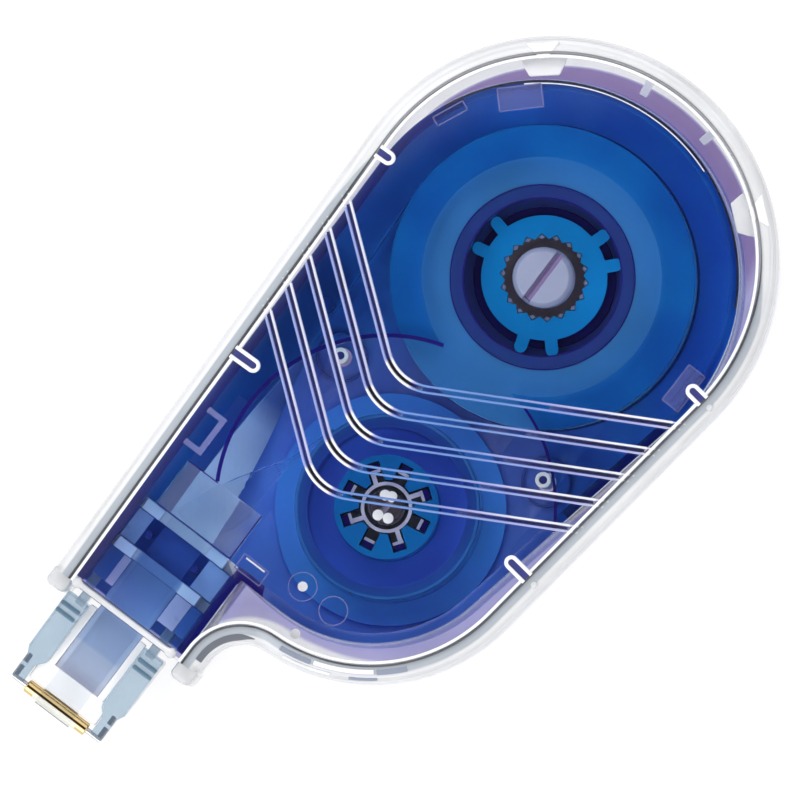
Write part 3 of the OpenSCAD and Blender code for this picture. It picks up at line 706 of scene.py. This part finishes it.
def edge_marks():
    """Four short loops that run in from the long sides, and dimples in the rim beside the lower two."""
    half, inside = 0.53, 0.34
    dimple = [(0.0, 13.3), (0.42, 13.3), (0.4, 13.6), (0.28, 13.75), (0.0, 13.8)]
    beads, fills, dimples = [], [], []
    for x, normal, length in ((-24.45, TOP_NORMAL, 2.9), (0.3, TOP_NORMAL, 1.7),
                              (-24.85, LOW_NORMAL, 2.7), (-0.15, LOW_NORMAL, 1.9)):
        mark = (x, side_y(normal, x))
        inner = polar(mark, normal, half - length)
        line = [p for p, _ in arc(inner, half, normal - 90, normal - 270, 15)]
        line = [polar(mark, normal, 0.1, -half), *line, polar(mark, normal, 0.1, half)]
        beads.append(sweep(along(line), bead(0.42, 0.26, CASE_T)))
        fill = [p for p, _ in arc(inner, inside, normal - 90, normal - 270, 20)]
        fill = [polar(mark, normal, 0, -inside), *fill, polar(mark, normal, 0, inside)]
        fills.append(prism(fill, CASE_T - 0.02, CASE_T + 0.05))
        if normal == LOW_NORMAL:
            dimples.append(lathe(dimple, polar(mark, normal, 0.95), 20))
    cover_piece("edge_mark_lines", join(*beads), pad_white)
    cover_piece("edge_mark_fills", join(*fills), mark_fill)
    cover_piece("rim_dimples", join(*dimples), frosted)


def catches():
    """Snap catches at the bulb, each a wide pad under the face and a dart on the rim."""
    wide = ((-0.3, -2.4), (-1.1, -2.1), (-2.2, -1.5), (-2.2, 1.5), (-1.1, 2.1), (-0.3, 2.4))
    dart = ((1.2, -1.7), (-0.55, -0.3), (-0.55, 0.3), (1.2, 1.7))
    shapes = []
    for a in (-40, 40):
        for plan, z0, z1 in ((wide, 11.2, 12.45), (dart, 13.2, 13.95)):
            shapes.append(prism([polar(BULB_C, a, BULB_R + out, w) for out, w in plan], z0, z1))
    # the catches' white is a painted highlight on clear plastic
    cover_piece("snap_catches", join(*shapes), pad_white, bevel=0.15)


def belly_segments():
    """Small windows and ledges moulded into the rim where it rounds the belly, and marks under the face."""
    grey = ((-174, -163, 0.5, 1.05, 13.62, 13.85), (-141, -131, 0.5, 1.05, 13.62, 13.85),
            (-150, -141, 1.3, 1.6, 12.95, 13.35))
    white = ((-162, -142, 0.5, 0.95, 13.62, 13.86), (-172, -156, 1.25, 1.5, 13.1, 13.45))
    for name, material, strips in (("rim_windows", segment_grey, grey), ("rim_ledges", pad_white, white)):
        shapes = [sweep(arc(BELLY_C, BELLY_R, a0, a1), rect(*size)) for a0, a1, *size in strips]
        cover_piece(name, join(*shapes), material, bevel=0.05)
    marks = ((-39.0, 0.4), (-39.1, -3.5))
    ring = ring_profile(1.38, 1.5, FACE_UNDER - 0.15, FACE_UNDER - 0.02, 0.03)
    cover_piece("ring_marks", lathes(ring, marks, 48), clip_pale)
    dot = [(0.0, 0.4), (0.4, 0.35), (0.5, 0.2), (0.5, 0.02), (0.0, 0.02)]
    dot = [(r, FACE_UNDER - depth) for r, depth in dot]
    stub = polar(BELLY_C, -172, BELLY_R - 1.25)
    cover_piece("gate_dots", lathes(dot, (marks[0], stub), 32), pad_white)


def ball_bar(y0, y1, r, ball):
    """Profile of a bar along Y with a ball at each end, as (radius, place along Y)."""
    def around(y, first, last):
        steps = [math.pi * i / 8 for i in range(first, last + 1)]
        return [(ball * math.sin(a), y - ball * math.cos(a)) for a in steps]
    start, end = [(0.0, y0 - ball), *around(y0, 1, 5)], [*around(y1, 3, 7), (0.0, y1 + ball)]
    return start + [(r, y0 + ball), (r, y1 - ball)] + end


def knob_ring(c, inset, z):
    """Rounded rectangle at height z, for the knobs at the mouth's corners."""
    ring = []
    for i in range(24):
        u = unit(7.5 + 15 * i)
        x = 0.45 * math.copysign(1, u[0]) + (0.65 - inset) * u[0]
        y = 0.5 * math.copysign(1, u[1]) + (0.65 - inset) * u[1]
        ring.append((c[0] + x, c[1] + y, z))
    return ring


def mouth():
    """Bar and lines across the mouth, and the knobs at its corners."""
    profile = ball_bar(6.9, 18.6, 0.33, 0.58)
    rings = turned(profile, MOUTH_X + 0.2, 0.0, CASE_T - 0.2, [22.5 * i for i in range(16)])
    cover_piece("mouth_bar", loft(rings, closed_ring=False, closed_loft=True), frosted)
    lines = []
    for x, z in ((MOUTH_X - 0.12, 13.5), (MOUTH_X + 0.62, CASE_T - 0.03)):
        lines.append(bar((x, 6.6, z), (x, 18.9, z), 0.12))
    cover_piece("mouth_lines", join(*lines), line_grey)
    corners = ((MOUTH_X - 0.55, PATH[0][0][1] + 0.9), (MOUTH_X - 0.55, NECK_LOW - 0.8))
    for make, name, heights in (
            (cover_piece, "cover_knobs", ((7.15, 0.1), (7.25, 0.0), (12.5, 0.0), (12.9, 0.15), (13.1, 0.45))),
            (case_piece, "rear_knobs", ((0.9, 0.45), (1.1, 0.15), (1.5, 0.0), (6.85, 0.0), (6.95, 0.1)))):
        blocks = [loft([knob_ring(c, inset, z) for z, inset in heights]) for c in corners]
        make(name, join(*blocks), knob_clear)


# Rear case

def half_pin(c, r, slot, z0, z1, side, head):
    """One half of a split pin, with a snap head near its top."""
    steps = ((z0, 0), (z1 - 1.2, 0), (z1 - 0.9, head), (z1 - 0.6, head), (z1 - 0.15, 0.0), (z1, -0.15))
    rings = []
    for z, grow in steps:
        radius = r + grow
        a = math.degrees(math.asin(slot / 2 / radius))
        around = [unit(a + (180 - 2 * a) * i / 24) for i in range(25)]
        rings.append([(c[0] + radius * u[0], c[1] + side * radius * u[1], z) for u in around])
    return loft(rings)


def gap_painted_shade(d, p):
    """Place in the gap's painted bands: lavender tint of light off the blue refill, deep mauve shade on the
    bulb, and a white edge there and in the bend.
    """
    neck = min(1.0, max(0.0, (-36 - p[0]) / 8)) if p[1] < 10 else 0.0
    plain = max(-3.2, d + 1.2 * neck)
    deep = -8.0 if d < -3 else -5.5 if d < -1.5 else -0.5
    return plain + (deep - plain) * bulb_share(p)


def rear_case():
    """Clear floor with painted shade in the gap round the refill, and rim."""
    steps = (-0.6, -1.4, -1.6, -3.2, -4.4, -6.0)
    edge = [(-0.2, 0.0), (-0.05, 0.12), (-0.05, FLOOR_T - 0.05), (-0.1, FLOOR_T)]
    levels = [(d, 0.0) for d in steps[::-1]] + edge + [(d, FLOOR_T) for d in steps]
    bands = [gap_painted_shade(d, p) for d, _ in levels for p, _ in PATH]
    case_piece("rear_floor", loft([edge_ring(d, z) for d, z in levels]), clear_floor_painted_shade, across=bands)
    profile = [(0.02, 0.1), (0.1, 0.02), (0.6, 0.12), (1.05, 0.45), (1.4, 0.8), (1.7, 1.25), (1.88, 1.8)]
    profile += [(RIM_W, 2.4), (RIM_W, 6.9), (RIM_W - 0.1, 7.0), (WALL_IN + 0.1, 7.0), (WALL_IN, 6.9)]
    profile += [(WALL_IN, 1.5), (0.02, 1.25)]
    case_piece("rear_rim", sweep(PATH, profile), clear)


def rear_fittings():
    """Toothed crown of the supply gear, split pins for the gears, posts for the refill, and gussets."""
    teeth = [polar((0, 0), 10 * i, 4.36 if i % 2 else 3.85) for i in range(36)]
    plate("spline_crown", [teeth, circle((0, 0), 3.05, 48)], BOSS_TOP + 0.01, BOSS_TOP + 0.16, 0.03,
          "supply_drive", spindle_dark, "gear_plastic")
    for name, material, c, r, slot, top, head_w in (
            ("supply_spindle", spindle_grey, (0, 0), 2.7, 0.8, REEL_TOP + 0.1, 0.3),
            ("take_up_spindle", spindle_dark, TAKE_UP, 1.6, 0.6, 10.1, 0.25)):
        pins = [half_pin(c, r, slot, FLOOR_T, top, side, head_w) for side in (-1, 1)]
        case_piece(name, join(*pins), material, bevel=0.08)
    # white domes that stand for painted highlights on the take-up pin's barbs
    lens = [(0.0, 10.0), (0.56, 10.0), (0.52, 10.14), (0.3, 10.22), (0.0, 10.25)]
    places = [polar(TAKE_UP, a, 1.15) for a in (42, 8, 172, 226)]
    case_piece("take_up_spindle_highlights", lathes(lens, places, 24), pad_white)
    # the posts' white is a painted highlight, and navy plugs in their bores are painted shade in the hollows
    tube = ring_profile(0.4, 0.8, FLOOR_T - 0.1, 8.95)
    case_piece("rear_posts", lathes(tube, POSTS, 40), pad_white)
    bore = [(0.0, 8.5), (0.42, 8.5), (0.42, 8.78), (0.36, 8.84), (0.0, 8.84)]
    case_piece("post_bore_shade", lathes(bore, POSTS, 32), bore_shade_navy)
    gussets = [block(BULB_C, a, 18.2, 21.2, -0.4, 0.4, FLOOR_T - 0.1, 3.4) for a in (10, -13)]
    case_piece("rear_gussets", join(*gussets), pad_white, bevel=0.1)


# Refill

def refill():
    """Tray with its wall in stretches of colour, collar, rings and pins."""
    holes = [circle((0, 0), 5.6), circle(TAKE_UP, 5.25)] + [circle(p, 0.95, 32) for p in POSTS]
    plate("refill_floor", [refill_path(-0.02)] + holes, REFILL_Z, BASE_TOP, 0.08,
          "refill", refill_blue, "blue_refill", ["refill_base"])
    # stops along the wall are counted in points of its path
    outer, inner = refill_path(0), refill_path(-1.0)
    last = len(outer) - 1
    low = tangent_normal((0, 0), REFILL_R, REFILL_BELLY_C, REFILL_BELLY_R)
    bulb_end = len(arc((0, 0), REFILL_R, 90 + REFILL_SLOPE, low))
    stops = (0, 16, bulb_end, bulb_end + 0.52, last - 1.5, last)
    materials = (wall_navy, wall_blue, refill_navy, wall_blue, refill_navy)
    for i, material in enumerate(materials):
        plan = stretch(outer, stops[i], stops[i + 1]) + stretch(inner, stops[i], stops[i + 1])[::-1]
        plate("refill_wall_%d" % (i + 1), [plan], BASE_TOP + 0.01, PLATE_Z - 0.02, 0.04,
              "refill", material, "blue_refill", ["refill_base"])
    tray_piece("refill_collar", lathe(ring_profile(5.6, COLLAR_R, BASE_TOP + 0.01, 5.6)), refill_navy)
    tray_piece("post_rings", lathes(ring_profile(2.25, 2.5, BASE_TOP + 0.01, 5.2), POSTS, 48), ring_faint)
    pin_top = PLATE_Z - 0.05
    guides = ((-44.25, HEAD_Y - 2.8), (-44.25, HEAD_Y + 2.8))
    for name, node, slot, r, places in (("guide_pin", "guide_peg", "blue_refill", 0.8, ((-15.0, 15.5),)),
                                        ("tape_guide_pins", "tape_guides", "dark_plastic", 0.4, guides)):
        profile = [(0.0, BASE_TOP), (r, BASE_TOP), (r, pin_top - 0.1), (r - 0.1, pin_top), (0.0, pin_top)]
        piece(name, lathes(profile, places, 40), "refill", guide_navy, slot, [node])


def plate_marks():
    """Edges of the cut-outs, the pane, clips and glints on the refill's front plate."""
    def curve(c, r, a0, a1, w):
        return sweep(arc(c, r, a0, a1), rect(0.0, w, MARK_Z, MARK_Z + 0.1))
    edges = [curve(TAKE_UP, CUTOUT_R, 17, 119, 0.4), curve(TAKE_UP, CUTOUT_R, -62, -18, 0.28)]
    for p, q in (((-41.2, 8.0), (-35.9, 8.0)), ((-41.2, 8.0), (-41.2, 17.1)), ((-35.9, 13.4), (-35.9, 17.1))):
        edges.append(mark_line(p, q, 0.12))
    refill_mark("cutout_edges", join(*edges), refill_navy)
    plate("window_pane", [rect(-41.25, -35.85, 7.95, 17.15)], 10.95, 11.4, 0.05,
          "refill", pane_blue, "blue_refill")
    hook = [(-34.8, 18.6), (-34.8, 16.4), (-30.3, 16.4), (-30.3, 18.6),
            (-30.9, 18.6), (-30.9, 17.0), (-34.2, 17.0), (-34.2, 18.6)]
    clips, panes = [prism(hook, MARK_Z, MARK_Z + 0.18)], []
    for a, r0, r1, half, filled in ((43.6, 16.9, 19.2, 2.2, True), (66, 18.2, 19.2, 1.7, False),
                                    (-91, 17.0, 19.0, 2.2, True)):
        clips += mark_outline([polar((0, 0), a, r, w) for r, w in rect(r0, r1, -half, half)], 0.14)
        if filled:
            panes.append(block((0, 0), a, r0 + 0.1, r1 - 0.1, 0.1 - half, half - 0.1, MARK_Z, MARK_Z + 0.08))
    clips += mark_outline(rect(-41.6, -39.9, 4.0, 7.1), 0.12)
    refill_mark("refill_clips", join(*clips), clip_pale)
    refill_mark("clip_panes", join(*panes), clip_pane)
    shine = [mark_line((-40.15, 4.4), (-40.15, 6.7), 0.16), curve((0, 0), 19.3, -20, 42, 0.12)]
    refill_mark("edge_shine", join(*shine), pad_white)
    refill_mark("bulb_edge_line", curve((0, 0), 19.48, -62, 66, 0.2), black)


# Reels

def wound(r0, r1, count, dip):
    """Profile of a winding between two radii, with a dip in every second turn's edge."""
    top = TAPE_Z + TAPE_W
    edge = [(r0 + (r1 - r0) * i / count, top - (dip if i % 2 else 0.0)) for i in range(count + 1)]
    return [(r0, TAPE_Z), *edge, (r1, TAPE_Z)]


def supply_reel():
    """Flange, core with its cap and lines, and the wound tape."""
    flange = lathe(ring_profile(CORE_IN, FLANGE_R, REEL_TOP, REEL_TOP + FLANGE_T), n=128)
    piece("supply_flange_disc", flange, "supply_reel", reel_blue, "blue_reel", ["supply_flange"])
    core = [(COLLAR_R + 0.05, REEL_Z), (FLANGE_R, REEL_Z), (FLANGE_R, REEL_Z + FLANGE_T),
            (CORE_R, REEL_Z + FLANGE_T), (CORE_R, REEL_TOP), (8.75, REEL_TOP), (8.7, REEL_TOP - 0.3),
            (8.4, REEL_TOP - 0.3), (8.35, REEL_TOP), (CORE_IN, REEL_TOP), (CORE_IN, REEL_Z + 0.65),
            (COLLAR_R + 0.05, REEL_Z + 0.65)]
    piece("supply_core_drum", lathe(core, n=128), "supply_reel", core_blue, "blue_reel", ["supply_core"])
    top = REEL_TOP + FLANGE_T
    cap = lathe(ring_profile(CORE_IN + 0.12, CORE_R - 0.12, top, top + 0.06, 0.02), n=128)
    piece("supply_core_cap", cap, "supply_reel", core_blue, "blue_reel")
    radii = (CORE_IN + 0.05, CORE_R)
    lines = [lathe(ring_profile(r - 0.07, r + 0.07, top, top + 0.1, 0.02), n=128) for r in radii]
    piece("supply_core_lines", join(*lines), "supply_reel", refill_navy, "blue_reel")
    turns = lathe(wound(CORE_R, ROLL_R, 40, 0.04), n=128)
    piece("tape_turns", turns, "supply_reel", tape_white, "tape", ["tape_roll"])


def take_up_reel():
    """Lip of the core, marks of painted highlight and shade on the star boss of its gear, and the wound film.
    """
    lip = lathe(ring_profile(8.95, 9.25, REEL_TOP - 0.3, REEL_TOP + 0.08), TAKE_UP)
    piece("take_up_lip", lip, "take_up_reel", line_cyan, "cyan_reel")
    # pale ribs that are painted highlights on the teeth's lit edges, and navy tips that are painted shade in
    # the gaps, on the star boss
    z = STAR_TOP + 0.01
    pale_rib_highlights = [lathe(ring_profile(2.2, 2.55, z, z + 0.12, 0.03), TAKE_UP, 48)]
    tips = []
    for i in range(8):
        a = 9.5 + 45 * i
        pale_rib_highlights.append(block(TAKE_UP, a, 3.55, 3.85, -0.55, 0.55, z, z + 0.1))
        if i % 2:
            pale_rib_highlights.append(block(TAKE_UP, a, 2.5, 3.6, 0.05, 0.5, z, z + 0.1))
        tips.append(block(TAKE_UP, a, 3.88, 4.45, -0.5, 0.5, z, z + 0.08))
    piece("star_rib_highlights", join(*pale_rib_highlights), "take_up_drive", pale, "dark_plastic")
    piece("star_tip_shade", join(*tips), "take_up_drive", refill_navy, "dark_plastic")
    turns = lathe(wound(9.02, 9.3, 8, 0.05), TAKE_UP)
    piece("film_turns", turns, "take_up_reel", film_clear, "film", ["film_winding"])


# Head

def cheek_low(x):
    return MID_Z - between(CHEEK_HEIGHTS, x)


def cheek_high(x):
    return MID_Z + between(CHEEK_HEIGHTS, x)


def beside(s, x0, x1, y0, y1):
    """Rectangle on one side of the head's centre line."""
    return rect(x0, x1, HEAD_Y + s * y0, HEAD_Y + s * y1)


def head():
    """Cheeks with slots and ridges, the channel between them, ramp, bars and rails, and pads in the neck."""
    cheek = ((-53.5, 3.5), (-53.5, 6.0), (-56.4, 6.0), (-59.2, 6.0), (-60.3, 6.0), (-61.1, 5.6), (-63.8, 5.6),
             (-63.8, 4.25), (-61.6, 4.25), (-60.8, 3.5), (-59.2, 3.5), (-56.4, 3.5))
    sides, slots, ridges, strips, rails = [], [], [], [], []
    for s in (-1, 1):
        sides.append(prism([(x, HEAD_Y + s * y) for x, y in cheek], cheek_low, cheek_high))
        for x0, x1 in ((-63.5, -62.3), (-61.9, -60.9)):
            slots.append(prism(beside(s, x0, x1, 5.0, 5.45), MID_Z, lambda x: cheek_high(x) + 0.05))
        for x in (-55.7, -54.8):
            ridges.append(prism(beside(s, x - 0.22, x + 0.22, 3.7, 5.95), MID_Z + 1.5, MID_Z + 2.72))
        strips.append(prism(beside(s, -60.4, -53.3, 2.68, 3.45), MID_Z - 0.5, MID_Z + 0.75))
        rails.append(prism(beside(s, -54.0, -42.5, 3.9, 4.9), MID_Z - 1.3, MID_Z + 1.25))
    head_piece("head_cheeks", join(*sides), head_clear, bevel=0.18)
    head_piece("head_slots", join(*slots), head_dark, bevel=0.06)
    head_piece("head_ridges", join(*ridges), ridge_blue, bevel=0.15)
    band = rect(-60.4, BARS[0][0], HEAD_Y - 2.65, HEAD_Y + 2.65)
    head_piece("head_channel", prism(band, MID_Z - 0.5, MID_Z + 0.5), head_band, bevel=0.1)
    ramp = ((-60.38, -3.45), (-60.38, 3.45), (-61.4, 4.15), (-62.9, 4.15), (-62.9, -4.15), (-61.4, -4.15))
    wedge = prism([(x, HEAD_Y + y) for x, y in ramp], lambda x: MID_Z - 0.2 - 0.1 * (x + 62.9),
                  lambda x: MID_Z + 0.25 + 0.12 * (x + 62.9))
    head_piece("head_ramp", join(wedge, *strips), head_white, bevel=0.1)
    bars, shades = [], []
    stops = (-5.9, -2.75, -2.5, -2.2, 2.2, 2.5, 2.75, 5.15)
    # the bar nearer the tip is blue in its middle, the other is white throughout
    for (x0, x1), shift in zip(BARS, (0, 10)):
        section = rect(x0, x1, MID_Z - 0.45, MID_Z + 0.45)
        bars.append(loft([[(x, HEAD_Y + y, z) for x, z in section] for y in stops]))
        shades += [abs(y) + shift for y in stops for _ in section]
        for s in (-1, 1):
            foot = prism(beside(s, x0, x1, 2.8, 4.95), MID_Z + 0.5, PLATE_Z - 0.05)
            bars.append(foot)
            shades += [5.0] * len(foot[0])
    head_piece("head_bars", join(*bars), bar_white, across=shades, bevel=0.1)
    head_piece("head_rails", join(*rails), head_clear, bevel=0.1)
    rail_top = MID_Z + 1.26
    for name, material, places in (
            ("neck_windows", window_navy, ((-50.6, -47.3, 7.2, 8.4), (-50.6, -47.3, 16.6, 18.1))),
            ("neck_strips", strip_mauve, ((-50.6, -47.3, 8.45, 10.3), (-50.6, -47.3, 15.7, 16.55))),
            ("neck_panels", panel_blue, ((-45.9, -42.6, 7.2, 9.7), (-45.9, -42.6, 16.4, 18.1)))):
        pads = [prism(rect(*sides_at), rail_top, rail_top + 0.15) for sides_at in places]
        head_piece(name, join(*pads), material, bevel=0.04)


def tip():
    """Gold sleeve of the roller, and the strip of tape over its front, drawn in cream as a painted highlight.
    """
    profile = [(0.36, -3.75), (0.62, -3.75), (0.7, -3.65), (0.7, 3.65), (0.62, 3.75), (0.36, 3.75)]
    rings = turned(profile, TIP_X, HEAD_Y, MID_Z, [11.25 * i for i in range(32)])
    piece("tip_sleeve", loft(rings, closed_loft=True), "tip", gold, "gold", ["tip_roller"])
    rings = turned(rect(0.715, 0.785, -2.65, 2.65), TIP_X, HEAD_Y, MID_Z, [100 + 5 * i for i in range(13)])
    piece("tip_tape_highlight", loft(rings), "refill", tape_cream_highlight, "tape")


def dress_nodes():
    """Materials of the CAD nodes that show as they are."""
    looks = {"supply_gear": gear_grey, "take_up_gear": black, "refill_front_plate": refill_plate_blue,
             "clutch_disc": disc_blue, "take_up_core": cyan_blue, "take_up_flange": flange_blue,
             "tip_axle": steel, "tape_run": tape_painted_light, "film_run": film_clear}
    for node, material in looks.items():
        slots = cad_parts[node].data.materials
        for i in range(len(slots)):
            slots[i] = material


# Stage

def white_floor():
    """Floor that looks white to the camera and through clear plastic, but lights the object little."""
    bpy.ops.mesh.primitive_plane_add(size=4, location=(0, 0, -0.0002))
    floor = bpy.context.object
    floor.name = "floor"
    mat = bpy.data.materials.new("floor_white")
    mat.use_nodes = True
    tree = mat.node_tree
    links = tree.links
    tree.nodes.clear()
    out = new_node(tree, "OutputMaterial")
    add = new_node(tree, "AddShader")
    diffuse = new_node(tree, "BsdfDiffuse", {"Color": (0.25, 0.25, 0.26, 1)})
    glow = new_node(tree, "Emission")
    rays = new_node(tree, "LightPath")
    seen = rays.outputs["Is Camera Ray"]
    for name in ("Is Glossy Ray", "Is Transmission Ray"):
        both = new_node(tree, "Math", operation="MAXIMUM")
        links.new(seen, both.inputs[0])
        links.new(rays.outputs[name], both.inputs[1])
        seen = both.outputs[0]
    level = new_node(tree, "Math", {1: 0.8}, operation="MULTIPLY")
    links.new(seen, level.inputs[0])
    links.new(level.outputs[0], glow.inputs["Strength"])
    links.new(diffuse.outputs[0], add.inputs[0])
    links.new(glow.outputs[0], add.inputs[1])
    links.new(add.outputs[0], out.inputs["Surface"])
    floor.data.materials.append(mat)


def studio_sky():
    """Even light from all sides. The dark patch overhead keeps the flat faces free of a white veil."""
    world = bpy.data.worlds.new("studio")
    bpy.context.scene.world = world
    world.use_nodes = True
    tree = world.node_tree
    coords = new_node(tree, "TexCoord")
    split = new_node(tree, "SeparateXYZ")
    sky = ((0.0, 1.0), (0.35, 1.05), (0.75, 1.16), (0.93, 1.12), (0.955, 0.04), (1.0, 0.03))
    ramp = ramp_node(tree, [(height, [light] * 3) for height, light in sky])
    tree.links.new(coords.outputs["Generated"], split.inputs[0])
    tree.links.new(split.outputs["Z"], ramp.inputs["Fac"])
    tree.links.new(ramp.outputs["Color"], tree.nodes["Background"].inputs["Color"])


def lamps():
    for name, where, power in (("key", (-0.5, 0.08, 0.33), 1.1), ("fill", (0.2, 0.4, 0.45), 0.8)):
        lamp = bpy.data.lights.new(name, "AREA")
        lamp.size = 0.4
        lamp.energy = power
        obj = new_object(name, lamp)
        obj.location = where
        aim = Vector((-0.018, 0.004, 0.007)) - Vector(where)
        obj.rotation_euler = aim.to_track_quat("-Z", "Y").to_euler()


def photo_camera():
    """Long lens from above, tilted by 3 degrees, with the object turned in the picture as in the photo."""
    camera = bpy.data.cameras.new("camera")
    camera.sensor_width = 36
    camera.lens = 720
    camera.clip_start = 0.01
    camera.clip_end = 20
    obj = new_object("camera", camera)
    tilt = math.radians(3)
    back = Vector((0, -math.sin(tilt), math.cos(tilt)))
    right = Vector((0.6018, -0.7986, 0))
    right = (right - right.dot(back) * back).normalized()
    turn = Matrix((right, back.cross(right), back)).transposed().to_4x4()
    target, distance = Vector((-0.0183, 0.0038, 0.014)), 1.6
    obj.matrix_world = Matrix.Translation(target + back * distance) @ turn
    bpy.context.scene.camera = obj


def light_paths():
    """Bounces enough for light that is trapped in the clear walls."""
    scene = bpy.context.scene
    scene.view_settings.view_transform = "Standard"
    scene.cycles.max_bounces = 64
    scene.cycles.transmission_bounces = 48
    scene.cycles.diffuse_bounces = 6
    scene.cycles.glossy_bounces = 32
    scene.cycles.sample_clamp_indirect = 6
    # blurred glass loses half the light that should reach the reels
    scene.cycles.blur_glossy = 0


cover()
bend_shade()
ribs()
edge_marks()
catches()
belly_segments()
mouth()
rear_case()
rear_fittings()
refill()
plate_marks()
supply_reel()
take_up_reel()
head()
tip()
dress_nodes()
white_floor()
studio_sky()
lamps()
photo_camera()
light_paths()
